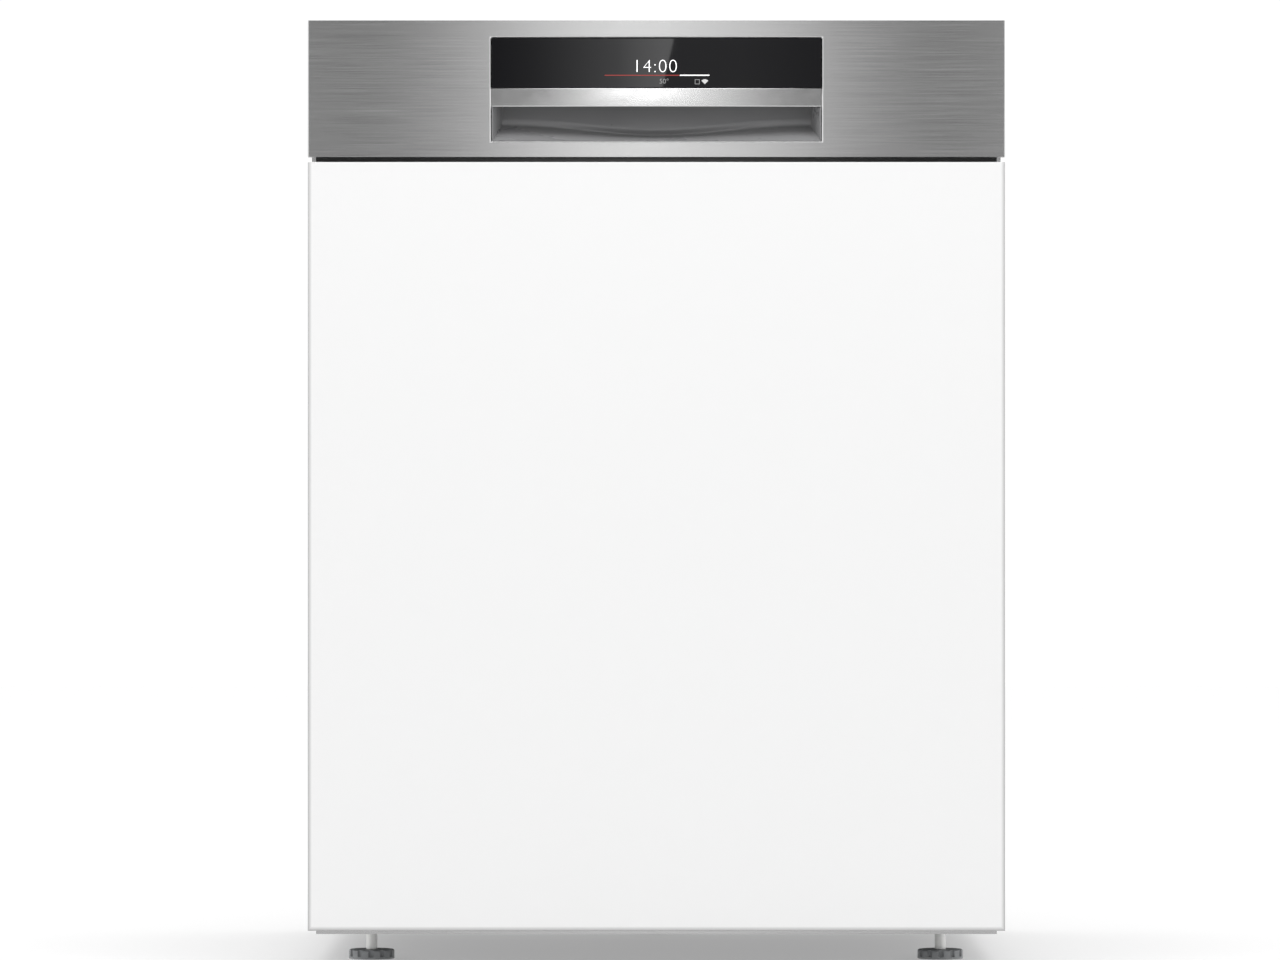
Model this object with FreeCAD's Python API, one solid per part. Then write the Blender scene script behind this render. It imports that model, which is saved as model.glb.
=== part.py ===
import FreeCAD, Part
import math
import os
from FreeCAD import Vector

# A built-in dishwasher with a steel control fascia and a furniture front. Millimetres.
# X runs across the machine, +Y to its back, +Z up. The origin is on the floor, at the centre.

# ---------------------------------------------------------------- driving dimensions
overall_width = 598.0
overall_depth = 573.0
overall_height = 815.0

# door front
fascia_height = 117.0
fascia_depth = 20.0
fascia_sheet = 1.6
front_gap = 4.3
panel_thickness = 19.0
panel_setback = 1.0
panel_floor_gap = 34.4
skin_inset = 6.25
skin_drop = 3.9
skin_sheet = 0.7
door_cavity = 28.0
liner_sheet = 0.7
liner_relief = 6.0
seal_space = 10.0
seal_width = 10.0
hinge_height = 112.0
hinge_behind_liner = 6.5
rib_gap = 0.3

# control recess in the fascia
recess_width = 283.4
recess_height = 88.6
recess_top_margin = 14.8
recess_bevel = 1.3
glass_height = 42.4
glass_thickness = 4.0
trim_height = 15.8
trim_depth = 10.0
trim_bow = 1.6
bowl_depth = 32.0
bowl_wall = 2.0
fit_gap = 0.4

# tub
side_space = 24.0
tub_sheet = 0.6
tub_corner = 14.0
floor_above_hinge = 16.0
tub_floor_thick = 1.5
ceiling_space = 25.0
back_space = 24.5
mat_thickness = 8.0
track_rise = 6.0

# body
panel_sheet = 0.7
body_inset = 1.0
top_drop = 3.0
base_wall = 3.0
base_bottom = 32.0
door_sweep_clearance = 6.0
back_bead = 14.0
connector_length = 24.5

# feet
foot_disc_radius = 20.0
foot_disc_height = 8.0
foot_stem_radius = 5.0
foot_stem_length = 106.0
foot_bore_gap = 0.1
foot_boss_wall = 4.0
front_foot_inset = 44.0
foot_setback = 34.0

# racks
wire_radius = 2.0
tine_radius = 1.75
weld = 0.6
wheel_radius = 14.0
wheel_width = 10.0
axle_radius = 3.0
axle_gap = 0.06
lower_rack_rise = 30.0
rack_front_gap = 25.0
rack_back_gap = 30.0
rack_side_gap = 28.0
wire_pitch = 38.0
tine_length = 92.0
upper_level = 0.507
plate_headroom = 82.0
glass_headroom = 122.0
upper_tine_length = 46.0
rack_lift = 50.0
slide_clearance = 0.5
cutlery_drop = 81.0
cutlery_height = 38.0
cutlery_wall = 2.0

# spray arms and sump
arm_thickness = 12.0
arm_hub_radius = 30.0
arm_tip_radius = 15.0
lower_arm_reach = 226.0
upper_arm_reach = 218.0
hub_gap = 0.15
feed_radius = 12.0
sump_radius = 86.0
sump_wall = 3.0
sump_bottom = 58.0
cup_radius = 33.0
cup_gap = 1.0
salt_port_radius = 26.0
salt_cap_radius = 32.0

# ---------------------------------------------------------------- planes worked out from them
half_width = overall_width / 2
face_y = -overall_depth / 2
back_y = overall_depth / 2
top_z = overall_height
fascia_bottom = top_z - fascia_height
fascia_back_y = face_y + fascia_depth
panel_top = fascia_bottom - front_gap
panel_bottom = panel_floor_gap
panel_face_y = face_y + panel_setback
panel_back_y = panel_face_y + panel_thickness
skin_y = max(panel_back_y, fascia_back_y)
skin_back_y = skin_y + skin_sheet
skin_half = half_width - skin_inset
skin_bottom = panel_bottom - skin_drop
liner_back_y = skin_back_y + door_cavity
liner_front_y = liner_back_y - liner_sheet
relief_y = liner_back_y + liner_relief
hinge_y = liner_back_y - hinge_behind_liner
hinge_z = hinge_height
body_half = half_width - body_inset
body_top = top_z - top_drop
door_top = body_top - 2.0
liner_half = skin_half - skin_sheet - 0.3
tub_front_y = liner_back_y + seal_space
tub_half = half_width - side_space - body_inset
tub_back_y = back_y - back_space
floor_z = hinge_z + floor_above_hinge
ceiling_z = body_top - ceiling_space
base_front_y = hinge_y + (hinge_z - skin_bottom) + door_sweep_clearance
base_back_y = back_y - connector_length
base_half = body_half - panel_sheet - 3.0
base_top = floor_z - tub_floor_thick
sheet_back_y = back_y - back_bead
notch_z = hinge_z - (hinge_y - panel_back_y) + 2.5
bracket_x = body_half - panel_sheet - 3.0
bracket_sheet = 2.5
spring_x = tub_half + tub_sheet + 11.0
spring_z = hinge_z + 34.0
foot_bore_radius = foot_stem_radius + foot_bore_gap
foot_boss_radius = foot_bore_radius + foot_boss_wall
arm_y = (tub_front_y + tub_back_y) / 2
track_z = floor_z + track_rise

recess_top = top_z - recess_top_margin
recess_bottom = recess_top - recess_height
recess_half = recess_width / 2
glass_bottom = recess_top - glass_height - fit_gap
trim_top = glass_bottom - fit_gap
trim_bottom = trim_top - trim_height

lower_floor_z = track_z + lower_rack_rise
tub_height = ceiling_z - floor_z
upper_floor_z = floor_z + upper_level * tub_height
feed_pipe_top = upper_floor_z - wire_radius - 0.3
feed_pipe_height = 12.0
upper_arm_top = feed_pipe_top - feed_pipe_height - 4.0
upper_arm_bottom = upper_arm_top - arm_thickness
lower_rim_z = upper_arm_bottom - rack_lift - plate_headroom
cutlery_bottom = ceiling_z - cutlery_drop
upper_rim_z = cutlery_bottom - glass_headroom
rack_half = tub_half - rack_side_gap
rack_front = relief_y + rack_front_gap
rack_back = tub_back_y - rack_back_gap
lower_arm_z = floor_z + 11.0
rib_y = hinge_y + (track_z - hinge_z) - rib_gap
rib_inner = tub_half - 21.0
rib_outer = tub_half - 5.0
lower_travel = 500.0
lower_reach_z = hinge_z + lower_travel - 50.0

LEFT, RIGHT = -1, 1
SIDES = (LEFT, RIGHT)


# ---------------------------------------------------------------- helpers
def block(x, y, z):
    """A box between (low, high) pairs, given in any order."""
    (x0, x1), (y0, y1), (z0, z1) = sorted(x), sorted(y), sorted(z)
    return Part.makeBox(x1 - x0, y1 - y0, z1 - z0, Vector(x0, y0, z0))


AXES = {"x": Vector(1, 0, 0), "y": Vector(0, 1, 0), "z": Vector(0, 0, 1)}


def rod(axis, start, radius, length):
    """A cylinder along +axis from start; a negative length runs the other way."""
    direction = AXES[axis] if length > 0 else AXES[axis] * -1
    return Part.makeCylinder(radius, abs(length), Vector(*start), direction)


def fused(shapes):
    return shapes[0].multiFuse(shapes[1:]).removeSplitter() if len(shapes) > 1 else shapes[0]


def cut(shape, tools):
    return shape.cut(Part.makeCompound(tools))


def along(edge, axis):
    """True for a straight edge that runs along the named axis."""
    return isinstance(edge.Curve, Part.Line) and abs(edge.Curve.Direction.dot(AXES[axis])) > 0.999


def rounded(shape, radius, axis, pick=lambda edge: True):
    """The shape with its straight edges along one axis rounded."""
    return shape.makeFillet(radius, [e for e in shape.Edges if along(e, axis) and pick(e)])


def eased(shape, radius, above):
    """The shape with its circular edges higher than a level rounded."""
    rims = [e for e in shape.Edges if isinstance(e.Curve, Part.Circle) and e.CenterOfMass.z > above]
    return shape.makeFillet(radius, rims)


def group(shapes):
    """Several separate solids in one part."""
    return Part.makeCompound([s for shape in shapes for s in shape.Solids])


def places(low, high, pitch):
    """Evenly spaced places from low to high, about one pitch apart."""
    count = max(2, round((high - low) / pitch) + 1)
    return [low + (high - low) * i / (count - 1) for i in range(count)]


def tube_path(points, radius):
    """A round tube through points: straight runs joined by tangent arcs."""
    points = [Vector(*p) for p in points]
    edges, start = [], points[0]
    for before, corner, after in zip(points, points[1:], points[2:]):
        to_back, to_next = before - corner, after - corner
        turn = math.pi - to_back.getAngle(to_next)
        setback = 0.45 * min(to_back.Length, to_next.Length)
        bend = setback / math.tan(turn / 2)
        to_back.normalize()
        to_next.normalize()
        first, last = corner + to_back * setback, corner + to_next * setback
        inward = (to_back + to_next).normalize()
        centre = corner + inward * math.hypot(bend, setback)
        middle = centre - inward * bend
        edges.append(Part.LineSegment(start, first).toShape())
        edges.append(Part.Arc(first, middle, last).toShape())
        start = last
    edges.append(Part.LineSegment(start, points[-1]).toShape())
    direction = points[1] - points[0]
    section = Part.Wire([Part.Edge(Part.Circle(points[0], direction, radius))])
    return Part.Wire(edges).makePipeShell([section], True, True)


def wall_grid(axis, level, outward, stations, low, high, z0, rails):
    """A flat wire wall of a rack: uprights at the stations, rails welded on their outer side."""
    layer = (2 * wire_radius - weld) * outward
    wires = []
    for s in stations:
        at = (s, level, z0) if axis == "x" else (level, s, z0)
        wires.append(rod("z", at, wire_radius, rails[-1] - z0))
    for z in rails:
        at = (low, level + layer, z) if axis == "x" else (level + layer, low, z)
        wires.append(rod(axis, at, wire_radius, high - low))
    return fused(wires)


def floor_grid(half, front, back, z, xs, ys):
    """A rack floor: cross wires below, lengthwise wires welded on top of them."""
    cross = [rod("x", (-half, y, z), wire_radius, 2 * half) for y in ys]
    length = [rod("y", (x, front, z + 2 * wire_radius - weld), wire_radius, back - front) for x in xs]
    return fused(cross + length)


# ---------------------------------------------------------------- door
def fascia():
    """Folded steel control fascia: front sheet with returns, and the bevelled control recess."""
    outer = block((-half_width, half_width), (face_y, fascia_back_y), (fascia_bottom, top_z))
    outer = rounded(outer, 1.0, "z", lambda e: e.CenterOfMass.y < face_y + 1)
    inner = block(
        (-half_width + fascia_sheet, half_width - fascia_sheet),
        (face_y + fascia_sheet, fascia_back_y),
        (fascia_bottom + fascia_sheet, top_z - fascia_sheet),
    )
    window = block(
        (-recess_half, recess_half), (face_y, face_y + fascia_sheet), (recess_bottom, recess_top)
    )
    shell = cut(outer, [inner, window])
    rim = [
        e
        for e in shell.Edges
        if abs(e.CenterOfMass.y - face_y) < 1e-6
        and abs(e.CenterOfMass.x) < recess_half + 1
        and recess_bottom - 1 < e.CenterOfMass.z < recess_top + 1
        and e.BoundBox.XLength < recess_width + 1
    ]
    return shell.makeChamfer(recess_bevel, rim)


def control_glass():
    """Dark touch glass over the display, in the upper part of the recess."""
    y0 = face_y + 0.6
    glass = block(
        (-recess_half + fit_gap, recess_half - fit_gap),
        (y0, y0 + glass_thickness),
        (glass_bottom, recess_top - fit_gap),
    )
    return glass.makeChamfer(0.4, [e for e in glass.Edges if abs(e.CenterOfMass.y - y0) < 1e-6])


def handle_trim():
    """Bowed metal bar under the glass; fingers go behind its lower edge."""
    half = recess_half - fit_gap
    y0 = face_y + 0.6
    ends = [Vector(-half, y0 + trim_bow, 0), Vector(half, y0 + trim_bow, 0)]
    bow = Part.Arc(ends[0], Vector(0, y0, 0), ends[1]).toShape()
    back = [Vector(half, y0 + trim_depth, 0), Vector(-half, y0 + trim_depth, 0)]
    sides = [
        Part.LineSegment(ends[1], back[0]).toShape(),
        Part.LineSegment(back[0], back[1]).toShape(),
        Part.LineSegment(back[1], ends[0]).toShape(),
    ]
    face = Part.Face(Part.Wire([bow] + sides))
    bar = face.extrude(Vector(0, 0, trim_height))
    bar.translate(Vector(0, 0, trim_bottom))
    hollow = block(
        (-half + 4, half - 4),
        (y0 + trim_bow + 3.0, y0 + trim_depth),
        (trim_bottom + 2.5, trim_top - 2.0),
    )
    return bar.cut(hollow)


def bowl_profile(grow):
    """Section of the finger hollow in the YZ plane, grown outwards by the wall."""
    front = face_y + fascia_sheet + 0.2
    deep = front + bowl_depth + grow
    low = recess_bottom + fit_gap - grow
    high = trim_top - 1.0 + grow
    points = [
        Vector(0, front, low),
        Vector(0, front + bowl_depth * 0.55, low + 4.0),
        Vector(0, deep - 2.0, low + 14.0),
        Vector(0, deep, low + 24.0),
        Vector(0, deep - 4.0, high - 3.0),
        Vector(0, deep - 12.0, high),
        Vector(0, front, high),
    ]
    curve = Part.BSplineCurve()
    curve.interpolate(points[:6])
    edges = [
        curve.toShape(),
        Part.LineSegment(points[5], points[6]).toShape(),
        Part.LineSegment(points[6], points[0]).toShape(),
    ]
    return Part.Face(Part.Wire(edges))


def grip_bowl():
    """Moulded finger hollow behind the trim, with the flange that closes the recess."""
    half = recess_half - fit_gap
    outer = bowl_profile(bowl_wall).extrude(Vector(2 * half, 0, 0))
    outer.translate(Vector(-half, 0, 0))
    hollow = bowl_profile(0).extrude(Vector(2 * half - 2 * bowl_wall, 0, 0))
    hollow.translate(Vector(-half + bowl_wall, 0, 0))
    y0 = face_y + 0.6
    for_trim = block(
        (-half - 1, half + 1),
        (face_y, y0 + trim_depth + fit_gap),
        (trim_bottom - fit_gap, trim_top + 20),
    )
    return cut(outer, [hollow, for_trim])


def control_board():
    """Display and touch board in its carrier, right behind the glass."""
    y0 = face_y + 0.6 + glass_thickness + 0.2
    half = recess_half - 3.0
    carrier = block((-half, half), (y0, y0 + 3.0), (glass_bottom + 2.0, recess_top - 2.0))
    display = block((-52, 44), (y0 + 3.0, y0 + 8.0), (glass_bottom + 5.0, recess_top - 5.0))
    board = block((-half + 6, half - 6), (y0 + 8.0, y0 + 9.6), (glass_bottom + 4.0, recess_top - 4.0))
    chips = [
        block((x, x + 12), (y0 + 9.6, y0 + 12.0), (recess_top - 26, recess_top - 14))
        for x in (-100, -70, 60, 90)
    ]
    return group([carrier, display, board] + chips)


def lock_module():
    """Door lock housing at the top centre, with the slot that takes the striker."""
    y0, y1 = liner_front_y - 22.0, liner_front_y
    z0, z1 = ceiling_z - 1.0, door_top - 1.0
    body = rounded(block((-42, 42), (y0, y1), (z0, z1)), 3.0, "y")
    slot = block((-19, 19), (y1 - 20.0, y1), (striker_z - 2.0, striker_z + striker_sheet + 2.0))
    pocket = block(
        (-12, 12), (pawl_y - 6.0, pawl_y + 11.5), (pawl_z - 8.0, striker_z + striker_sheet + 2.0)
    )
    pin = rod("x", (-14, pawl_y, pawl_z), 2.0, 28)
    return cut(body, [slot, pocket]).fuse(pin)


striker_sheet = 2.5
striker_z = body_top - 10.0
pawl_y = liner_front_y - 14.0
pawl_swing = 50.0
pawl_z = striker_z - 8.0


def lock_pawl():
    """Hook that the lock raises into the striker's window; it is drawn lowered."""
    hub = rod("x", (-5, pawl_y, pawl_z), 5.0, 10)
    nose = block((-5, 5), (pawl_y + 0.5, pawl_y + 4.5), (pawl_z, striker_z + striker_sheet - 0.6))
    body = hub.fuse(nose).cut(rod("x", (-6, pawl_y, pawl_z), 2.0 + axle_gap, 12)).removeSplitter()
    body.rotate(Vector(0, pawl_y, pawl_z), AXES["x"], -pawl_swing)
    return body


def furniture_panel():
    """White front panel of the kitchen, with pilot holes for its fixing screws."""
    panel = block((-half_width, half_width), (panel_face_y, panel_back_y), (panel_bottom, panel_top))
    front = [e for e in panel.Edges if abs(e.CenterOfMass.y - panel_face_y) < 1e-6]
    panel = panel.makeFillet(1.0, front)
    holes = [
        rod("y", (x, panel_back_y - fixing_bite, z), fixing_radius, fixing_bite)
        for x, z in fixing_places()
    ]
    return cut(panel, holes)


fixing_radius = 2.0
fixing_bite = 12.0


def fixing_places():
    """Where the furniture panel's screws go through the door skin."""
    rows = [panel_bottom + (panel_top - panel_bottom) * share for share in (0.18, 0.5, 0.9)]
    return [(side * (skin_half - 24), z) for side in SIDES for z in rows]


def liner_screw_places():
    return [
        (side * (liner_half - 2.8), z)
        for side in SIDES
        for z in places(hinge_z + 90, door_top - 22, 150)
    ]


def door_fasteners():
    """Panel fixing screws, and the screws round the edge of the inner liner."""
    screws = []
    for x, z in fixing_places():
        shank = rod("y", (x, skin_back_y, z), fixing_radius, -(fixing_bite + skin_sheet))
        head = rod("y", (x, skin_back_y, z), 4.5, 3.0)
        screws.append(head.fuse(shank).removeSplitter())
    for x, z in liner_screw_places():
        shank = rod("y", (x, liner_back_y, z), 1.5, -9.0)
        head = rod("y", (x, liner_back_y, z), 2.6, 1.8)
        socket = rod("y", (x, liner_back_y + 0.8, z), 1.3, 1.0)
        screws.append(head.fuse(shank).removeSplitter().cut(socket))
    return group(screws)


def door_skin():
    """Outer steel sheet of the door, with side returns and a window for the control parts."""
    sheet = block((-skin_half, skin_half), (skin_y, skin_back_y), (skin_bottom, door_top))
    returns = [
        block(
            (side * (skin_half - skin_sheet), side * skin_half),
            (skin_back_y, liner_front_y - 1.0),
            (skin_bottom, door_top),
        )
        for side in SIDES
    ]
    bottom = block(
        (-skin_half, skin_half), (skin_back_y, skin_back_y + 18), (skin_bottom, skin_bottom + skin_sheet)
    )
    shell = fused([sheet, bottom] + returns)
    window = block(
        (-recess_half - 3, recess_half + 3),
        (skin_y - 1, skin_back_y + 1),
        (recess_bottom - 4, recess_top + 2),
    )
    holes = [rod("y", (x, skin_y, z), fixing_radius, skin_sheet) for x, z in fixing_places()]
    holes += [rod("x", (side * (skin_half - 3), hinge_y, hinge_z), 6.0, side * 6) for side in SIDES]
    return cut(shell, [window] + holes)


def door_insulation():
    """Felt and bitumen pad that fills the door below the controls."""
    pad = block(
        (-spring_x + 6, spring_x - 6),
        (skin_back_y + 4.0, liner_front_y - 0.5),
        (skin_bottom + 30, recess_bottom - 8),
    )
    dispenser = block(
        (dispenser_low - 4, dispenser_high + 4),
        (dispenser_y - 4, liner_front_y),
        (dispenser_z0 - 4, dispenser_z1 + 4),
    )
    return pad.cut(dispenser)


def door_liner():
    """Deep-drawn stainless inner door with a raised field, side returns and its cut-outs."""
    z0 = hinge_z - 20.0
    sheet = block((-liner_half, liner_half), (liner_front_y, liner_back_y), (z0, door_top))
    returns = [
        block(
            (side * (liner_half - liner_sheet), side * liner_half),
            (skin_back_y + 2.0, liner_front_y),
            (z0, door_top),
        )
        for side in SIDES
    ]
    top = block(
        (-liner_half, liner_half), (skin_back_y + 2.0, liner_front_y), (door_top - liner_sheet, door_top)
    )
    shell = fused([sheet, top] + returns)
    field = block(
        (-tub_half + 20, tub_half - 20), (liner_back_y, relief_y), (floor_z + 9, ceiling_z - 12)
    )
    field = rounded(field, 26.0, "y")
    crown = [e for e in field.Edges if abs(e.CenterOfMass.y - relief_y) < 1e-6]
    field = field.makeFillet(liner_relief - 1.5, crown)
    hollow = block(
        (-tub_half + 26, tub_half - 26),
        (liner_front_y, relief_y - liner_sheet - 0.5),
        (floor_z + 15, ceiling_z - 18),
    )
    hollow = rounded(hollow, 22.0, "y")
    ribs = [
        rounded(
            block(
                (side * rib_inner, side * rib_outer),
                (liner_front_y, rib_y),
                (track_z + 1.5, lower_reach_z),
            ),
            2.5,
            "z",
            lambda e: e.CenterOfMass.y > rib_y - 1,
        )
        for side in SIDES
    ]
    rib_hollows = [
        block(
            (side * (rib_inner + 1.2), side * (rib_outer - 1.2)),
            (liner_front_y, rib_y - 1.2),
            (track_z + 4, lower_reach_z - 2.5),
        )
        for side in SIDES
    ]
    shell = shell.multiFuse([field] + ribs)
    shell = cut(shell, [hollow] + rib_hollows).removeSplitter()
    openings = [
        block(
            (dispenser_low, dispenser_high),
            (liner_front_y - 1, relief_y + 1),
            (dispenser_z0, dispenser_z1),
        ),
        block(
            (-21, 21),
            (liner_front_y - 1, liner_back_y + 1),
            (striker_z - 3.5, striker_z + striker_sheet + 3.0),
        ),
    ]
    openings += [
        block(
            (side * (spring_x - 3), side * (spring_x + 3)),
            (liner_front_y - 1, liner_back_y + 1),
            (spring_z - 5, spring_z + 5),
        )
        for side in SIDES
    ]
    openings += [
        rod("x", (side * (liner_half - 3), hinge_y, hinge_z), 6.0, side * 6) for side in SIDES
    ]
    openings += [rod("y", (x, liner_front_y - 1, z), 1.5, 3.0) for x, z in liner_screw_places()]
    return cut(shell, openings)


def door_lip_seal():
    """Rubber lip on the inner door, just in front of the tub's sill."""
    half = tub_half - 2.0
    foot = block((-half, half), (liner_back_y, liner_back_y + 3.0), (hinge_z + 3, floor_z + 6))
    lip = block((-half, half), (liner_back_y + 3.0, tub_front_y - 0.8), (floor_z - 3, floor_z - 1))
    return foot.fuse(lip).removeSplitter()


dispenser_low, dispenser_high = -108.0, 92.0
dispenser_z0 = 336.0
dispenser_z1 = 430.0
dispenser_y = liner_front_y - 24.0
dispenser_face_y = relief_y + 1.5
cup_low, cup_high = -46.0, 12.0
cup_depth = 20.0
lid_travel = 58.0


def dispenser_body():
    """Detergent and rinse-aid dispenser, let into the inner door."""
    gap = 0.3
    low, high = dispenser_low + gap, dispenser_high - gap
    z0, z1 = dispenser_z0 + gap, dispenser_z1 - gap
    body = rounded(block((low, high), (dispenser_y, dispenser_face_y), (z0, z1)), 6.0, "y")
    bezel = rounded(
        block((low - 5, high + 5), (relief_y + 0.1, dispenser_face_y), (z0 - 5, z1 + 5)), 9.0, "y"
    )
    body = body.fuse(bezel).removeSplitter()
    cup = rounded(
        block((cup_low, cup_high), (dispenser_face_y - cup_depth, dispenser_face_y), (z0 + 16, z1 - 12)),
        8.0,
        "y",
    )
    filler = rod("y", (rinse_x, dispenser_face_y - 12, rinse_z), 11.0, 12)
    seat = rounded(
        block(
            (rinse_x - 20, rinse_x + 20),
            (dispenser_face_y - 2.5, dispenser_face_y),
            (rinse_z - 24, rinse_z + 18),
        ),
        5.0,
        "y",
    )
    hinge_line = rod("x", (rinse_x - 23, rinse_hinge_y, rinse_hinge_z), 1.0 + axle_gap, 46)
    knuckle_room = rod("x", (rinse_x - 14.4, rinse_hinge_y, rinse_hinge_z), 2.4, 28.8)
    groove_z = ((z0 + 8, z0 + 11), (z1 - 7, z1 - 4))
    grooves = [
        block((cup_low - 4 - lid_travel, cup_high + 4), (dispenser_face_y - 1.5, dispenser_face_y), z)
        for z in groove_z
    ]
    return cut(body, [cup, filler, seat, hinge_line, knuckle_room] + grooves)


rinse_x = 52.0
rinse_z = 386.0
rinse_hinge_y = dispenser_face_y - 1.4
rinse_hinge_z = rinse_z - 20.5


def dispenser_lid():
    """Sliding detergent lid, on two runners in the dispenser's grooves."""
    z0, z1 = dispenser_z0 + 0.3, dispenser_z1 - 0.3
    y0 = dispenser_face_y + 0.2
    lid = rounded(block((cup_low - 3, cup_high + 3), (y0, y0 + 3.0), (z0 + 6, z1 - 2)), 4.0, "y")
    runners = [
        block((cup_low - 2, cup_high + 2), (dispenser_face_y - 1.2, y0), (z0 + 8.3, z0 + 10.7)),
        block((cup_low - 2, cup_high + 2), (dispenser_face_y - 1.2, y0), (z1 - 6.7, z1 - 4.3)),
    ]
    ridge = block((cup_low + 4, cup_low + 8), (y0 + 3.0, y0 + 4.5), (z0 + 24, z1 - 20))
    return fused([lid, ridge] + runners)


def rinse_cap():
    """Hinged cap of the rinse-aid filler."""
    y1 = dispenser_face_y - 0.2
    lid = rounded(
        block((rinse_x - 19, rinse_x + 19), (y1 - 1.8, y1), (rinse_z - 18, rinse_z + 17)), 4.0, "y"
    )
    plug = rod("y", (rinse_x, y1 - 4, rinse_z), 10.5, 3.0)
    knuckle = rod("x", (rinse_x - 14, rinse_hinge_y, rinse_hinge_z), 1.9, 28)
    pin = rod("x", (rinse_x - 22, rinse_hinge_y, rinse_hinge_z), 1.0, 44)
    bridge = block((rinse_x - 14, rinse_x + 14), (y1 - 1.7, y1 - 0.1), (rinse_hinge_z, rinse_z - 17))
    return fused([lid, plug, bridge, knuckle, pin])


def hinge_arms():
    """Door hinge plates with their pivot pins and the hooks for the balance cords."""
    arms = []
    for side in SIDES:
        x0, x1 = side * (spring_x - 2), side * (spring_x + 2)
        plate = block((x0, x1), (skin_back_y + 1, liner_front_y - 0.5), (hinge_z - 40, hinge_z + 70))
        plate = rounded(plate, 6.0, "x")
        eye = rod("x", (x0, hinge_y + 0.5, hinge_z), 9.0, side * 4)
        eye = eye.common(block((x0, x1), (skin_back_y, liner_front_y - 0.5), (0, hinge_z + 20)))
        pin = rod("x", (x0, hinge_y, hinge_z), 4.0, side * (bracket_x + bracket_sheet - spring_x + 1.8))
        notch = block((x0, x1), (liner_front_y - 13, liner_front_y), (spring_z - 4, spring_z + 4))
        hook = rod("z", (side * spring_x, liner_front_y - 8, spring_z - 5), 1.8, 10)
        arms.append(fused([plate.cut(notch), eye, pin, hook]))
    return group(arms)


# ---------------------------------------------------------------- body
def hinge_brackets():
    """Steel brackets screwed to the base; each holds a hinge pin and the end of a spring."""
    out = []
    for side in SIDES:
        x0, x1 = side * bracket_x, side * (bracket_x + bracket_sheet)
        plate = block((x0, x1), (hinge_y - 14, 96), (notch_z, spring_z + 16))
        plate = rounded(plate, 10.0, "x", lambda e: e.CenterOfMass.y < hinge_y)
        lug = block((side * (spring_x - 6), side * bracket_x), (84, 88), (spring_z - 8, spring_z + 8))
        hole = rod("x", (side * (bracket_x - 1), hinge_y, hinge_z), 4.0 + axle_gap, side * 6)
        eye = rod("y", (side * spring_x, 83, spring_z), 1.3, 6)
        out.append(cut(plate.fuse(lug).removeSplitter(), [hole, eye]))
    return group(out)


def door_springs():
    """Balance springs of the door, each with its cord to the hinge arm."""
    out = []
    turns, pitch, mean, wire = 24, 6.2, 5.5, 1.0
    length = turns * pitch
    for side in SIDES:
        helix = Part.makeHelix(pitch, length, mean)
        section = Part.Wire([Part.Edge(Part.Circle(Vector(mean, 0, 0), Vector(0, 1, 0), wire))])
        coil = Part.Wire(helix.Edges).makePipeShell([section], True, True)
        coil.rotate(Vector(0, 0, 0), Vector(1, 0, 0), -90)
        end_y = 80.0
        coil.translate(Vector(side * spring_x, end_y - length, spring_z))
        hook = rod("y", (side * spring_x, end_y + 1, spring_z), 1.2, 10)
        cap = rod("y", (side * spring_x, end_y - 3, spring_z), mean + wire + 0.5, 4)
        plug = rod("y", (side * spring_x, end_y - length - 2, spring_z), mean + wire + 0.5, 5)
        cord_start = liner_front_y - 5.5
        cord_end = end_y - length - 2
        cord = rod("y", (side * spring_x, cord_start, spring_z), 1.5, cord_end - cord_start)
        out.append(fused([coil, plug, cap, hook, cord]))
    return group(out)


def base_tray():
    """Moulded base that catches leaks and carries the tub, the pumps and the feet."""
    outer = block((-base_half, base_half), (base_front_y, base_back_y), (base_bottom, base_top))
    outer = rounded(outer, 8.0, "z")
    inner = block(
        (-base_half + base_wall, base_half - base_wall),
        (base_front_y + base_wall, base_back_y - base_wall),
        (base_bottom + base_wall, base_top),
    )
    inner = rounded(inner, 6.0, "z")
    tray = outer.cut(inner)
    boss_height = foot_stem_length + foot_disc_height - base_bottom + 2
    bosses = [rod("z", (x, y, base_bottom), foot_boss_radius, boss_height) for x, y in foot_places()]
    bores = [
        rod("z", (x, y, base_bottom - 1), foot_bore_radius, foot_stem_length + 20)
        for x, y in foot_places()
    ]
    ports = [
        rod("y", (x, base_back_y - base_wall - 1, connector_z), r, base_wall + 2)
        for x, r in connector_places()
    ]
    return cut(tray.multiFuse(bosses), bores + ports).removeSplitter()


def foot_places():
    front = base_front_y + foot_setback
    return [
        (-base_half + front_foot_inset, front),
        (base_half - front_foot_inset, front),
        (0.0, base_back_y - foot_setback),
    ]


def foot(place):
    """A levelling foot: ribbed disc on a steel stem that screws up into the base."""
    x, y = place
    disc = rod("z", (x, y, 0), foot_disc_radius, foot_disc_height)
    disc = eased(disc, 1.5, 1.0)
    stem = rod("z", (x, y, foot_disc_height), foot_stem_radius, foot_stem_length)
    notches = [
        rod(
            "z",
            (
                x + foot_disc_radius * math.cos(math.radians(a)),
                y + foot_disc_radius * math.sin(math.radians(a)),
                2.0,
            ),
            2.2,
            foot_disc_height,
        )
        for a in range(0, 360, 30)
    ]
    return cut(disc.fuse(stem).removeSplitter(), notches)


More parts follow.
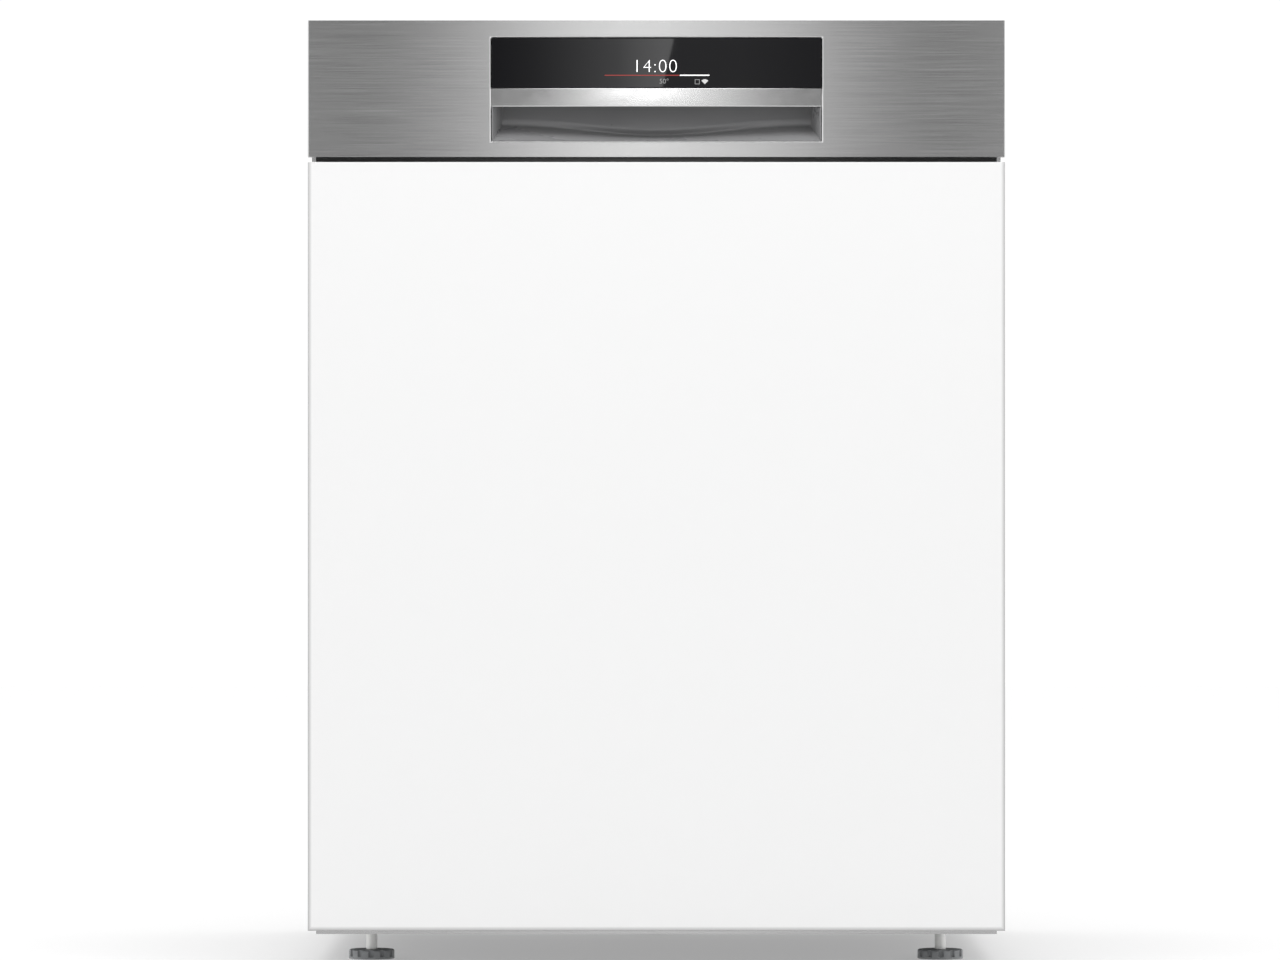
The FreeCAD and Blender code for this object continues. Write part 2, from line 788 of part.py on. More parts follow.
def side_panel(side):
    """Galvanised side sheet with pressed beads and the toe-space notch."""
    x0, x1 = side * (body_half - panel_sheet), side * body_half
    sheet = block((x0, x1), (tub_front_y, sheet_back_y), (base_bottom + 4, body_top - 1.2))
    notch = block(
        (x0 - 2, x1 + 2) if side > 0 else (x0 + 2, x1 - 2),
        (tub_front_y - 1, base_front_y),
        (0, notch_z),
    )
    flange = block(
        (side * (body_half - 12), x0),
        (sheet_back_y - panel_sheet, sheet_back_y),
        (base_top + 2, body_top - 1.2),
    )
    beads = [
        block((x0, x0 - side * 1.6), (y, y + 34), (notch_z + 100, body_top - 90))
        for y in places(tub_front_y + 60, sheet_back_y - 90, 130)
    ]
    return cut(sheet, [notch]).multiFuse(beads + [flange]).removeSplitter()


def back_panel():
    """Galvanised rear sheet with two deep pressed beads."""
    half = body_half - panel_sheet - 0.5
    outside_y = sheet_back_y + panel_sheet
    sheet = block((-half, half), (sheet_back_y, outside_y), (base_top + 2, body_top - 1.2))
    beads, hollows = [], []
    for side in SIDES:
        x = side * half * 0.62
        bead = block((x - 34, x + 34), (outside_y, back_y), (base_top + 70, body_top - 90))
        crown = [e for e in bead.Edges if abs(e.CenterOfMass.y - back_y) < 1e-6]
        beads.append(bead.makeFillet(5.0, crown))
        inside_y = back_y - panel_sheet - 1
        hollows.append(block((x - 32, x + 32), (sheet_back_y, inside_y), (base_top + 73, body_top - 93)))
    return cut(sheet.multiFuse(beads), hollows).removeSplitter()


def top_cover():
    """Steel top sheet with side flanges, and the front beam below it."""
    half = body_half
    sheet = block((-half, half), (tub_front_y, sheet_back_y + panel_sheet), (body_top - 1.0, body_top))
    lips = [
        block(
            (side * (body_half - panel_sheet - 1.4), side * (body_half - panel_sheet - 0.2)),
            (tub_front_y + 2, sheet_back_y - 2),
            (body_top - 16, body_top - 1.0),
        )
        for side in SIDES
    ]
    beam = block(
        (-half + 30, half - 30),
        (tub_front_y + 2, tub_front_y + 26),
        (body_top - 12, body_top - 1.0),
    )
    return fused([sheet, beam] + lips)


tab_x = 150.0
tab_hole_radius = 2.25
tab_sheet = 1.5
tab_hole_y = tub_front_y - 12.0


def top_brackets():
    """Worktop fixing tabs, and the striker that the door lock closes on."""
    out = []
    for side in SIDES:
        tab = block(
            (side * tab_x - 16, side * tab_x + 16),
            (tab_hole_y - 9, tub_front_y + 22),
            (body_top, body_top + tab_sheet),
        )
        tab = rounded(tab, 4.0, "z")
        tab = tab.cut(rod("z", (side * tab_x, tab_hole_y, body_top - 1), tab_hole_radius, 4))
        out.append(tab)
    reach = pawl_y - 5.0
    tongue = block((-14, 14), (reach, tub_front_y), (striker_z, striker_z + striker_sheet))
    window = block((-8, 8), (pawl_y - 1.0, pawl_y + 9.0), (striker_z - 1, striker_z + striker_sheet + 1))
    plate = block(
        (-26, 26), (tub_front_y - 2.0, tub_front_y), (ceiling_z + 11.5, striker_z + striker_sheet)
    )
    out.append(tongue.fuse(plate).cut(window).removeSplitter())
    return group(out)


def kick_plate():
    """Adjustable plinth sheet in front of the base."""
    y1 = base_front_y - 0.2
    sheet = block((-base_half + 4, base_half - 4), (y1 - 1.2, y1), (base_bottom + 2, notch_z - 22))
    bead_z = (base_bottom + 14, base_bottom + 20)
    bead = block((-base_half + 30, base_half - 30), (y1 - 3.0, y1 - 1.2), bead_z)
    return sheet.fuse(bead).removeSplitter()


def tub_shell():
    """Stainless tub: side and top wrap with round corners, and the seamed back wall."""
    def arch(half, top, radius):
        shape = block((-half, half), (tub_front_y, tub_back_y), (floor_z, top))
        return rounded(shape, radius, "y", lambda e: e.CenterOfMass.z > top - 1)

    wrap = arch(tub_half + tub_sheet, ceiling_z + tub_sheet, tub_corner + tub_sheet)
    wrap = wrap.cut(arch(tub_half, ceiling_z, tub_corner))
    back = block(
        (-tub_half - tub_sheet, tub_half + tub_sheet),
        (tub_back_y, tub_back_y + tub_sheet),
        (floor_z, ceiling_z + tub_sheet),
    )
    back = rounded(back, tub_corner + tub_sheet, "y", lambda e: e.CenterOfMass.z > ceiling_z)
    return group([wrap, back])


def tub_floor():
    """Tub bottom with the wheel tracks, the sump hole, the salt port and the duct port."""
    half = tub_half + tub_sheet
    plate = block((-half, half), (tub_front_y, tub_back_y + tub_sheet), (base_top, floor_z))
    tracks = [
        block(
            (side * (tub_half - 26), side * (tub_half - 0.3)),
            (tub_front_y + 4, tub_back_y - 0.3),
            (floor_z, track_z),
        )
        for side in SIDES
    ]
    tracks = [rounded(t, 3.0, "y", lambda e: e.CenterOfMass.z > track_z - 1) for t in tracks]
    hollows = [
        block(
            (side * (tub_half - 26 + tub_floor_thick), side * (tub_half - 0.3 - tub_floor_thick)),
            (tub_front_y + 4 + tub_floor_thick, tub_back_y - 0.3 - tub_floor_thick),
            (base_top, track_z - tub_floor_thick),
        )
        for side in SIDES
    ]
    holes = [
        rod("z", (sump_x, sump_y, base_top - 1), sump_radius - 6, 10),
        rod("z", (salt_x, salt_y, base_top - 1), salt_port_radius + 2.2, 10),
        rod("z", (0, duct_y, base_top - 1), 9.2, 10),
    ]
    return cut(plate.multiFuse(tracks), hollows + holes).removeSplitter()


sump_x = 30.0
sump_y = arm_y - 33.0
salt_x = -150.0
salt_y = arm_y - 58.0
duct_y = tub_back_y - 12.0
cup_x = sump_x + 26.0
cup_y = sump_y - 30.0


def tub_front_frame():
    """Stainless flange round the tub's mouth, with slots for the balance cords."""
    sheet = 1.2
    outer = block(
        (-body_half + panel_sheet, body_half - panel_sheet),
        (tub_front_y, tub_front_y + sheet),
        (hinge_z + hinge_behind_liner + 2.5, body_top - 1.2),
    )
    mouth = block(
        (-tub_half - tub_sheet, tub_half + tub_sheet),
        (tub_front_y - 1, tub_front_y + sheet + 1),
        (0, ceiling_z + tub_sheet),
    )
    mouth = rounded(mouth, tub_corner + tub_sheet, "y", lambda e: e.CenterOfMass.z > ceiling_z)
    slots = [
        block(
            (side * (spring_x - 4), side * (spring_x + 4)),
            (tub_front_y - 1, tub_front_y + sheet + 1),
            (spring_z - 5, spring_z + 5),
        )
        for side in SIDES
    ]
    brackets = [
        block(
            (side * (bracket_x - 0.4), side * (bracket_x + bracket_sheet + 0.4)),
            (tub_front_y - 1, tub_front_y + sheet + 1),
            (0, spring_z + 16.5),
        )
        for side in SIDES
    ]
    beam = block(
        (-body_half + 29, body_half - 29),
        (tub_front_y + 1.9, tub_front_y + 3),
        (body_top - 13, body_top),
    )
    return cut(outer, [mouth, beam] + slots + brackets)


def tub_seal():
    """Rubber gasket round the tub's mouth, pressed by the inner door."""
    y0, y1 = liner_back_y + 0.3, tub_front_y
    inner_half = tub_half + tub_sheet + 0.5
    top = ceiling_z + tub_sheet + 0.5

    def arch(half, height, radius):
        shape = block((-half, half), (y0, y1), (floor_z + 1, height))
        return rounded(shape, radius, "y", lambda e: e.CenterOfMass.z > height - 1)

    ring = arch(inner_half + seal_width, top + seal_width, tub_corner + seal_width)
    ring = ring.cut(arch(inner_half, top, tub_corner))
    slots = [
        block(
            (side * (spring_x - 3), side * (spring_x + 3)),
            (y0 - 1, y1 + 1),
            (spring_z - 4, spring_z + 4),
        )
        for side in SIDES
    ]
    return cut(ring, slots)


def tub_insulation():
    """Felt mats on the tub's sides, top and back."""
    mats = [
        block(
            (side * (tub_half + tub_sheet), side * (tub_half + tub_sheet + mat_thickness)),
            (tub_front_y + 20, tub_back_y),
            (spring_z + 19, ceiling_z - 16),
        )
        for side in SIDES
    ]
    mats.append(
        block(
            (-tub_half + 16, tub_half - 16),
            (tub_front_y + 30, tub_back_y),
            (ceiling_z + tub_sheet, ceiling_z + tub_sheet + mat_thickness),
        )
    )
    mats.append(
        block(
            (-tub_half + 10, tub_half - 10),
            (tub_back_y + tub_sheet, tub_back_y + tub_sheet + mat_thickness),
            (floor_z + 10, ceiling_z - 16),
        )
    )
    return group(mats)


# ---------------------------------------------------------------- water and machinery
def sump():
    """Sump pot under the tub floor, with the spray arm's feed pipe and the pump necks."""
    top = base_top
    depth = top - sump_bottom
    pot = rod("z", (sump_x, sump_y, sump_bottom), sump_radius, depth)
    well = rod("z", (sump_x, sump_y, sump_bottom + sump_wall), sump_radius - sump_wall, depth)
    outlet = rod("y", (sump_x, sump_y + sump_radius - 6, outlet_z), 17.0, 26)
    drain = rod("x", (sump_x + sump_radius - 6, cup_y, outlet_z), 17.0, 18)
    bores = [
        rod("y", (sump_x, sump_y + sump_radius - 12, outlet_z), 14.0, 40),
        rod("x", (sump_x + sump_radius - 20, cup_y, outlet_z), 14.0, 40),
    ]
    pipe = rod("z", (0, arm_y, sump_bottom), feed_radius, lower_arm_z + 8 - sump_bottom)
    bore = rod("z", (0, arm_y, sump_bottom + 4), feed_radius - 2.0, 140)
    return cut(cut(pot.multiFuse([outlet, drain]), [well] + bores).fuse(pipe), [bore]).removeSplitter()


outlet_z = 84.0


def fine_filter():
    """Fine steel mesh plate over the sump, with holes for the filter cup and the feed pipe."""
    plate = rod("z", (sump_x, sump_y, floor_z), sump_radius - 2, 1.5)
    rim = rod("z", (sump_x, sump_y, floor_z), sump_radius - 2, 2.5)
    rim = rim.cut(rod("z", (sump_x, sump_y, floor_z - 1), sump_radius - 6, 5))
    holes = [
        rod("z", (cup_x, cup_y, floor_z - 1), cup_radius + cup_gap, 5),
        rod("z", (0, arm_y, floor_z - 1), feed_radius + 0.2, 5),
    ]
    return cut(plate.fuse(rim).removeSplitter(), holes)


def filter_cup():
    """Twist-out coarse filter cup with its cross handle."""
    height = floor_z + 2.6 - (sump_bottom + sump_wall + 6)
    z0 = sump_bottom + sump_wall + 6
    cup = rod("z", (cup_x, cup_y, z0), cup_radius, height)
    well = rod("z", (cup_x, cup_y, z0 + 2.5), cup_radius - 2.5, height)
    flange = rod("z", (cup_x, cup_y, floor_z + 1.8), cup_radius + 5, 2.0)
    flange = flange.cut(rod("z", (cup_x, cup_y, floor_z), cup_radius - 3, 8))
    slots = [
        block((cup_x - 60, cup_x + 60), (cup_y - 5, cup_y + 5), (z, z + 6))
        for z in (z0 + 12, z0 + 26, z0 + 40)
    ]
    bar = block(
        (cup_x - cup_radius + 1, cup_x + cup_radius - 1),
        (cup_y - 3, cup_y + 3),
        (floor_z - 5, floor_z + 3.8),
    )
    return cut(cup.cut(well), slots).multiFuse([flange, bar]).removeSplitter()


def salt_cap():
    """Screw cap of the salt container."""
    rim = rod("z", (salt_x, salt_y, floor_z + 0.8), salt_cap_radius, 6.0)
    rim = eased(rim, 1.5, floor_z + 5)
    grip = block((salt_x - 22, salt_x + 22), (salt_y - 4, salt_y + 4), (floor_z + 6.8, floor_z + 9.5))
    neck = rod("z", (salt_x, salt_y, floor_z - 10), salt_port_radius - 2.3, 11)
    return fused([rim, grip, neck])


def softener_tank():
    """Salt and resin tank of the water softener, with the filler neck through the tub floor."""
    body = block(
        (-base_half + 8, salt_x + 48), (salt_y - 52, arm_y + 96), (base_bottom + base_wall, base_top - 6)
    )
    body = rounded(body, 12.0, "z")
    neck = rod("z", (salt_x, salt_y, base_top - 8), salt_port_radius + 2, 8.4 + tub_floor_thick)
    bore = rod("z", (salt_x, salt_y, base_bottom + 30), salt_port_radius, 120)
    feet_clear = [rod("z", (x, y, 0), foot_boss_radius + 2, 130) for x, y in foot_places()]
    return cut(body.fuse(neck), [bore] + feet_clear).removeSplitter()


pump_place = (150.0, arm_y + 110.0, base_bottom + base_wall + 41.0)


def circulation_pump():
    """Main pump: volute, motor and terminal end, on two rubber feet."""
    x, y, z = pump_place
    volute = rod("x", (x - 36, y, z), 38.0, 36)
    motor = rod("x", (x, y, z), 34.0, 76)
    cap = rod("x", (x + 76, y, z), 26.0, 14)
    inlet = rod("x", (x - 52, y, z), 15.0, 16)
    outlet = rod("y", (x - 18, y + 20, z + 20), 13.0, 42)
    feet = [
        block((x + dx, x + dx + 16), (y - 22, y + 22), (base_bottom + base_wall, z - 28))
        for dx in (-30, 50)
    ]
    return fused([volute, motor, cap, inlet, outlet] + feet)


def drain_pump():
    """Drain pump on the side of the sump."""
    x = sump_x + sump_radius + 12.4
    volute = rod("x", (x, cup_y, outlet_z), 27.0, 18)
    motor = rod("x", (x + 18, cup_y, outlet_z), 21.0, 40)
    spout = rod("y", (x + 9, cup_y + 18, outlet_z - 8), 8.0, 24)
    return fused([volute, motor, spout])


def base_hoses():
    """Hoses inside the base: sump to pump, pump to duct, drain, and inlet to the air break."""
    px, py, pz = pump_place
    drain_x = sump_x + sump_radius + 21.4
    start_y = sump_y + sump_radius + 20.2
    suction = tube_path(
        [
            (sump_x, start_y, outlet_z),
            (sump_x, start_y + 26, outlet_z),
            (sump_x + 24, py - 6, pz + 2),
            (px - 74, py, pz),
            (px - 52.3, py, pz),
        ],
        13.0,
    )
    feed = tube_path(
        [
            (px - 18, py + 62.3, pz + 20),
            (px - 18, py + 86, pz + 20),
            (px - 60, duct_y - 8, pz + 16),
            (px - 100, duct_y - 4, pz + 10),
            (20, duct_y, pz + 4),
            (0, duct_y, pz + 20),
            (0, duct_y, base_top - 4.3),
        ],
        8.0,
    )
    drain = tube_path(
        [
            (drain_x, cup_y + 42.3, outlet_z - 8),
            (drain_x, cup_y + 76, outlet_z - 8),
            (drain_x + 40, cup_y + 110, outlet_z + 10),
            (base_half - 22, cup_y + 150, outlet_z + 14),
            (base_half - 22, py + 10, outlet_z + 14),
            (base_half - 40, py + 74, outlet_z + 12),
            (connector_right, base_back_y - 34, connector_z),
            (connector_right, base_back_y - 7.3, connector_z),
        ],
        8.5,
    )
    return group([suction, feed, drain])


connector_z = 92.0
connector_right = 225.0
inlet_x = -225.0
mains_x = -70.0


def connector_places():
    """(x, radius of the hole in the base's rear wall) of the rear connectors."""
    return [(connector_right, 10.0), (inlet_x, 12.0), (mains_x, 13.0)]


def rear_connectors():
    """Rear spigots for the drain hose and the water inlet, and the mains cable entry."""
    wall = base_back_y - base_wall
    drain = fused(
        [
            rod("y", (connector_right, wall - 4, connector_z), 10.0, connector_length + base_wall + 3.5),
            rod("y", (connector_right, base_back_y, connector_z), 14.0, 3.0),
        ]
    )
    drain = drain.cut(rod("y", (connector_right, wall - 10, connector_z), 7.5, 60))
    inlet = fused(
        [
            rod("y", (inlet_x, wall - 4, connector_z), 12.0, base_wall + 4.2),
            rod("y", (inlet_x, base_back_y, connector_z), 17.0, 5.0),
            rod("y", (inlet_x, base_back_y + 5, connector_z), 13.2, connector_length - 5.5),
        ]
    )
    inlet = inlet.cut(rod("y", (inlet_x, wall - 10, connector_z), 9.0, 60))
    gland = fused(
        [
            rod("y", (mains_x, wall - 12, connector_z), 13.0, base_wall + 12.2),
            rounded(
                block(
                    (mains_x - 20, mains_x + 20),
                    (base_back_y, base_back_y + 12),
                    (connector_z - 18, connector_z + 18),
                ),
                5.0,
                "y",
            ),
        ]
    )
    gland = gland.cut(rod("y", (mains_x, wall - 20, connector_z), mains_bore, 80))
    return group([drain, inlet, gland])


mains_bore = 5.0


def air_break_tank():
    """Flat water tank on the tub's left side: air break, flow path and heat store."""
    x0, x1 = -tub_half - tub_sheet - mat_thickness - 0.5, -body_half + panel_sheet + 3.0
    tank = block((x0, x1), (arm_y - 130, arm_y + 120), (spring_z + 40, spring_z + 330))
    tank = rounded(tank, 18.0, "x")
    x_in = (x0 + x1) / 2
    stub = rod("z", (x_in, arm_y + 90, spring_z + 18), 3.4, 24)
    return tank.fuse(stub).removeSplitter()


def riser_duct():
    """Flat duct up the back wall and along the ceiling, with the docks and the top sprayer."""
    y1 = tub_back_y - 0.3
    y0 = y1 - 13.0
    up = rounded(block((-19, 19), (y0, y1), (floor_z + 0.2, ceiling_z - 0.4)), 4.0, "z")
    over = rounded(block((-15, 15), (arm_y - 14, y0 + 2), (ceiling_z - 11, ceiling_z - 0.4)), 4.0, "y")
    spigot = rod("z", (0, duct_y, base_top - 4), 9.0, 10)
    head = Part.makeCone(17.0, 27.0, 8.0, Vector(0, arm_y, ceiling_z - 19))
    dock_z = feed_pipe_top - feed_pipe_height / 2
    docks = [rod("y", (0, y0 - 2, z), 10.0, 4) for z in (dock_z, dock_z - rack_lift)]
    ports = [rod("y", (0, y0 - 3, z), 6.0, 9) for z in (dock_z, dock_z - rack_lift)]
    return cut(fused([up, over, spigot, head] + docks), ports)


# ---------------------------------------------------------------- spray arms
def spray_arm(reach, z, lean):
    """Hollow-looking blade with round tips, nozzles on top and a hub."""
    hub = rod("z", (0, arm_y, z), arm_hub_radius, arm_thickness)
    parts = [hub]
    for end in (1, -1):
        tip = end * (reach - arm_tip_radius)
        root, far = arm_hub_radius * 0.72, arm_tip_radius
        outline = [
            Vector(0, arm_y - root, z),
            Vector(tip, arm_y - far + end * lean, z),
            Vector(tip, arm_y + far + end * lean, z),
            Vector(0, arm_y + root, z),
            Vector(0, arm_y - root, z),
        ]
        blade = Part.Face(Part.makePolygon(outline)).extrude(Vector(0, 0, arm_thickness))
        parts += [blade, rod("z", (tip, arm_y + end * lean, z), far, arm_thickness)]
    return fused(parts)


def nozzle_holes(reach, top, depth):
    spots = [share * reach for share in (0.32, 0.45, 0.58, 0.7, 0.82, 0.92)]
    return [
        rod("z", (end * x, arm_y, top - depth), 1.7, depth + 1) for end in (1, -1) for x in spots
    ]


def lower_spray_arm():
    arm = spray_arm(lower_arm_reach, lower_arm_z, 3.0)
    top = lower_arm_z + arm_thickness
    crown = rod("z", (0, arm_y, top), 15.0, 3.0)
    bore = rod("z", (0, arm_y, lower_arm_z - 1), feed_radius + hub_gap, 10.5)
    return cut(arm.fuse(crown).removeSplitter(), [bore] + nozzle_holes(lower_arm_reach, top, 4))


def upper_spray_arm():
    arm = spray_arm(upper_arm_reach, upper_arm_bottom, -3.0)
    bore = rod("z", (0, arm_y, upper_arm_top - 8.0), feed_radius + hub_gap, 9)
    return cut(arm, [bore] + nozzle_holes(upper_arm_reach, upper_arm_top, 4))


# ---------------------------------------------------------------- racks
lower_xs = places(-rack_half + 22, rack_half - 22, wire_pitch)
lower_ys = places(rack_front + 22, rack_back - 22, wire_pitch)
fixed_rows = (1, 3, 8, 10)
fold_row = 5
wheel_ys = (rack_front + 40, rack_back - 60)
wheel_axis_z = track_z + wheel_radius
rail_out = 3 * wire_radius - weld
carrier_x = rack_half + rail_out + 0.3


def row_x(index):
    return lower_xs[min(index, len(lower_xs) - 1)]


def basket(floor, rim, xs, ys, rails):
    """Floor and four walls of a wire rack, each a flat welded grid."""
    inner = rack_half - wire_radius
    parts = [floor_grid(inner, rack_front + wire_radius, rack_back - wire_radius, floor, xs, ys)]
    for side in SIDES:
        parts.append(
            wall_grid(
                "y",
                side * rack_half,
                side,
                ys,
                rack_front - wire_radius,
                rack_back + wire_radius,
                floor - wire_radius,
                rails,
            )
        )
    for y, outward in ((rack_front, -1), (rack_back, 1)):
        parts.append(
            wall_grid(
                "x",
                y,
                outward,
                xs,
                -rack_half + wire_radius,
                rack_half - wire_radius,
                floor - wire_radius,
                rails,
            )
        )
    return parts


def tine(x, y, z, length):
    return eased(rod("z", (x, y, z), tine_radius, length), 1.2, z + 1)


def lower_basket():
    """Lower rack: wire floor and walls, and its fixed rows of tines."""
    middle = lower_floor_z + (lower_rim_z - lower_floor_z) * 0.5
    rails = [lower_floor_z + 12, middle, lower_rim_z]
    parts = basket(lower_floor_z, lower_rim_z, lower_xs, lower_ys, rails)
    top = lower_floor_z + 3 * wire_radius - weld
    for row in fixed_rows:
        parts += [tine(row_x(row), y, top, tine_length) for y in lower_ys[1:-1]]
    return group(parts)


def lower_fold_tines():
    """Folding tine row: a shaft that turns in two clips, with tines welded on."""
    x = row_x(fold_row) + 8.0
    z = lower_floor_z + 4 * wire_radius + 2.0
    shaft = rod("y", (x, lower_ys[1] - 14, z), wire_radius, lower_ys[-2] - lower_ys[1] + 28)
    tines = [tine(x, y, z, tine_length - 6) for y in lower_ys[1:-1]]
    return fused([shaft] + tines)


def fold_clips():
    """Clips on the rack floor that hold the folding shaft."""
    x = row_x(fold_row) + 8.0
    z = lower_floor_z + 4 * wire_radius + 2.0
    clips = []
    for y in (lower_ys[1] - 9, lower_ys[-2] + 9):
        body = block((x - 12, x + 8), (y - 3, y + 3), (lower_floor_z + 3 * wire_radius - weld, z + 5))
        body = rounded(body, 3.0, "y", lambda e: e.CenterOfMass.z > z)
        clips.append(body.cut(rod("y", (x, y - 4, z), wire_radius + axle_gap, 8)))
    return clips


def rack_plastics():
    """Moulded pieces of the lower rack: wheel carriers with axles, fold clips and the front grip."""
    out = fold_clips()
    for side in SIDES:
        for y in wheel_ys:
            x0 = side * carrier_x
            x1 = side * (carrier_x + 4)
            plate = block((x0, x1), (y - 22, y + 22), (wheel_axis_z - 7, lower_floor_z + 26))
            plate = rounded(plate, 6.0, "x")
            axle = rod("x", (x1, y, wheel_axis_z), axle_radius, side * (wheel_width + 2.0))
            out.append(plate.fuse(axle).removeSplitter())
    y0 = rack_front - rail_out - 0.3
    grip = block((-90, 90), (y0 - 6, y0), (lower_rim_z - 22, lower_rim_z + 4))
    grip = rounded(grip, 2.5, "x", lambda e: e.CenterOfMass.y < y0 - 3)
    out.append(grip)
    return group(out)


def wheels(y):
    """The two wheels of one axle line, left and right."""
    out = []
    for side in SIDES:
        x0 = side * (carrier_x + 4.6)
        wheel = rod("x", (x0, y, wheel_axis_z), wheel_radius, side * wheel_width)
        wheel = wheel.makeFillet(1.2, [e for e in wheel.Edges if isinstance(e.Curve, Part.Circle)])
        recess = rod("x", (x0 + side * (wheel_width - 2.5), y, wheel_axis_z), wheel_radius - 4, side * 4)
        hub = rod("x", (x0, y, wheel_axis_z), axle_radius + 3, side * wheel_width)
        bore = rod("x", (x0 - side, y, wheel_axis_z), axle_radius + axle_gap, side * (wheel_width + 2))
        out.append(wheel.cut(recess).fuse(hub).cut(bore).removeSplitter())
    return group(out)


rail_z = upper_floor_z + 52.0
rail_front = tub_front_y + 12.0
rail_back = tub_back_y - 34.0
rail_height = 30.0
rail_sheet = 1.5
wall_x = tub_half - 0.2
cutlery_rail_z = cutlery_bottom + 24.0


def channel(side, back_x, depth, z, height, sheet, front, back):
    """A rail with its open side facing the middle of the tub."""
    low, high = z - height / 2, z + height / 2
    outer = block((side * back_x, side * (back_x - depth)), (front, back), (low, high))
    inner = block(
        (side * (back_x - sheet), side * (back_x - depth - 1)),
        (front - 1, back + 1),
        (low + sheet, high - sheet),
    )
    return outer.cut(inner)


def rack_rails():
    """Fixed rails on the tub's side walls, for the upper rack and the cutlery drawer."""
    out = []
    for side in SIDES:
        for depth, z, height in ((12.0, rail_z, rail_height), (10.0, cutlery_rail_z, 18.0)):
            out.append(channel(side, wall_x, depth, z, height, rail_sheet, rail_front, rail_back))
    return group(out)


mid_back_x = wall_x - rail_sheet - slide_clearance
mid_height = rail_height - 2 * (rail_sheet + slide_clearance)
bar_height = mid_height - 2 * (rail_sheet + slide_clearance)
bar_back_x = mid_back_x - rail_sheet - slide_clearance
bar_depth = 9.0


def upper_rail_mid():
    """Middle members of the telescopic rails."""
    front, back = rail_front + 3, rail_back - 3
    return group(
        [
            channel(side, mid_back_x, bar_depth, rail_z, mid_height, rail_sheet, front, back)
            for side in SIDES
        ]
    )


def upper_rail_inner():
    """Inner members of the telescopic rails, which carry the rack's lift guides."""
    out = []
    for side in SIDES:
        x0, x1 = side * bar_back_x, side * (bar_back_x - bar_depth)
        low, high = rail_z - bar_height / 2, rail_z + bar_height / 2
        bar = block((x0, x1), (rail_front + 6, rail_back - 6), (low, high))
        guides = [block((x1, side * guide_x), (y - 9, y + 9), (low + 2, high - 2)) for y in guide_ys]
        guides += [
            block(
                (side * (guide_x + 1), side * (carrier_x + 0.3)), (y - 3.7, y + 3.7), (low + 2, high - 2)
            )
            for y in guide_ys
        ]
        out.append(bar.multiFuse(guides).removeSplitter())
    return group(out)


guide_x = carrier_x + 3.8
guide_ys = (rack_front + 110, rack_back - 110)


def upper_basket():
    """Upper rack: wire floor and walls, and its rows of short tines."""
    rails = [upper_floor_z + 12, upper_rim_z]
    parts = basket(upper_floor_z, upper_rim_z, lower_xs, lower_ys, rails)
    top = upper_floor_z + 3 * wire_radius - weld
    for row in (1, 4, 6, 9):
        parts += [tine(row_x(row), y, top, upper_tine_length) for y in lower_ys[1:-1]]
    return group(parts)


def upper_rack_plastics():
    """Moulded pieces of the upper rack: lift side plates with their levers, the grip and shelf posts."""
    out = []
    for side in SIDES:
        x0, x1 = side * carrier_x, side * (carrier_x + 3.5)
        plate = block(
            (x0, x1), (guide_ys[0] - 30, guide_ys[1] + 30), (upper_floor_z + 6, upper_rim_z + 6)
        )
        plate = rounded(plate, 8.0, "x")
        slots = [
            block((x0 - 5, x0 + 5), (y - 4, y + 4), (upper_floor_z + 20, upper_rim_z - 6))
            for y in guide_ys
        ]
        lever = block(
            (x1, x1 + side * 4.0), (arm_y - 26, arm_y + 26), (upper_rim_z - 12, upper_rim_z + 4)
        )
        lever = rounded(lever, 4.0, "x")
        out.append(cut(plate, slots).fuse(lever).removeSplitter())
    y0 = rack_front - rail_out - 0.3
    grip = block((-80, 80), (y0 - 6, y0), (upper_rim_z - 20, upper_rim_z + 4))
    out.append(rounded(grip, 2.5, "x", lambda e: e.CenterOfMass.y < y0 - 3))
    for y in (lower_ys[2], lower_ys[-3]):
        post = block(
            (-rack_half + wire_radius + 0.2, -rack_half + wire_radius + 10),
            (y - 3, y + 3),
            (shelf_z - 6, shelf_z + 6),
        )
        out.append(post.cut(rod("y", (shelf_x, y - 4, shelf_z), wire_radius + axle_gap, 8)))
    return group(out)


shelf_x = -rack_half + wire_radius + 5.2
shelf_z = upper_floor_z + (upper_rim_z - upper_floor_z) * 0.8


def cup_shelf():
    """Folding cup shelf on the left wall of the upper rack."""
    y0, y1 = lower_ys[2] - 14, lower_ys[-3] + 14
    shaft = rod("y", (shelf_x, y0, shelf_z), wire_radius, y1 - y0)
    reach = 92.0
    ribs = [
        rod("x", (shelf_x, y, shelf_z), 1.6, reach) for y in places(y0 + 20, y1 - 20, 22)
    ]
    edge = rod("y", (shelf_x + reach, y0 + 18, shelf_z), wire_radius, y1 - y0 - 36)
    return fused([shaft, edge] + ribs)


def upper_feed_pipe():
    """Flat pipe under the upper rack, from the dock at the back to the arm's hub pin."""
    y1 = tub_back_y - 0.3 - 13.0 - 2.0 - 1.6
    z0 = feed_pipe_top - feed_pipe_height
    pipe = rounded(block((-14, 14), (arm_y - 20, y1), (z0, feed_pipe_top)), 5.0, "y")
    pin = rod("z", (0, arm_y, upper_arm_top - 7.5), feed_radius, z0 - upper_arm_top + 8.5)
    return pipe.fuse(pin).removeSplitter()


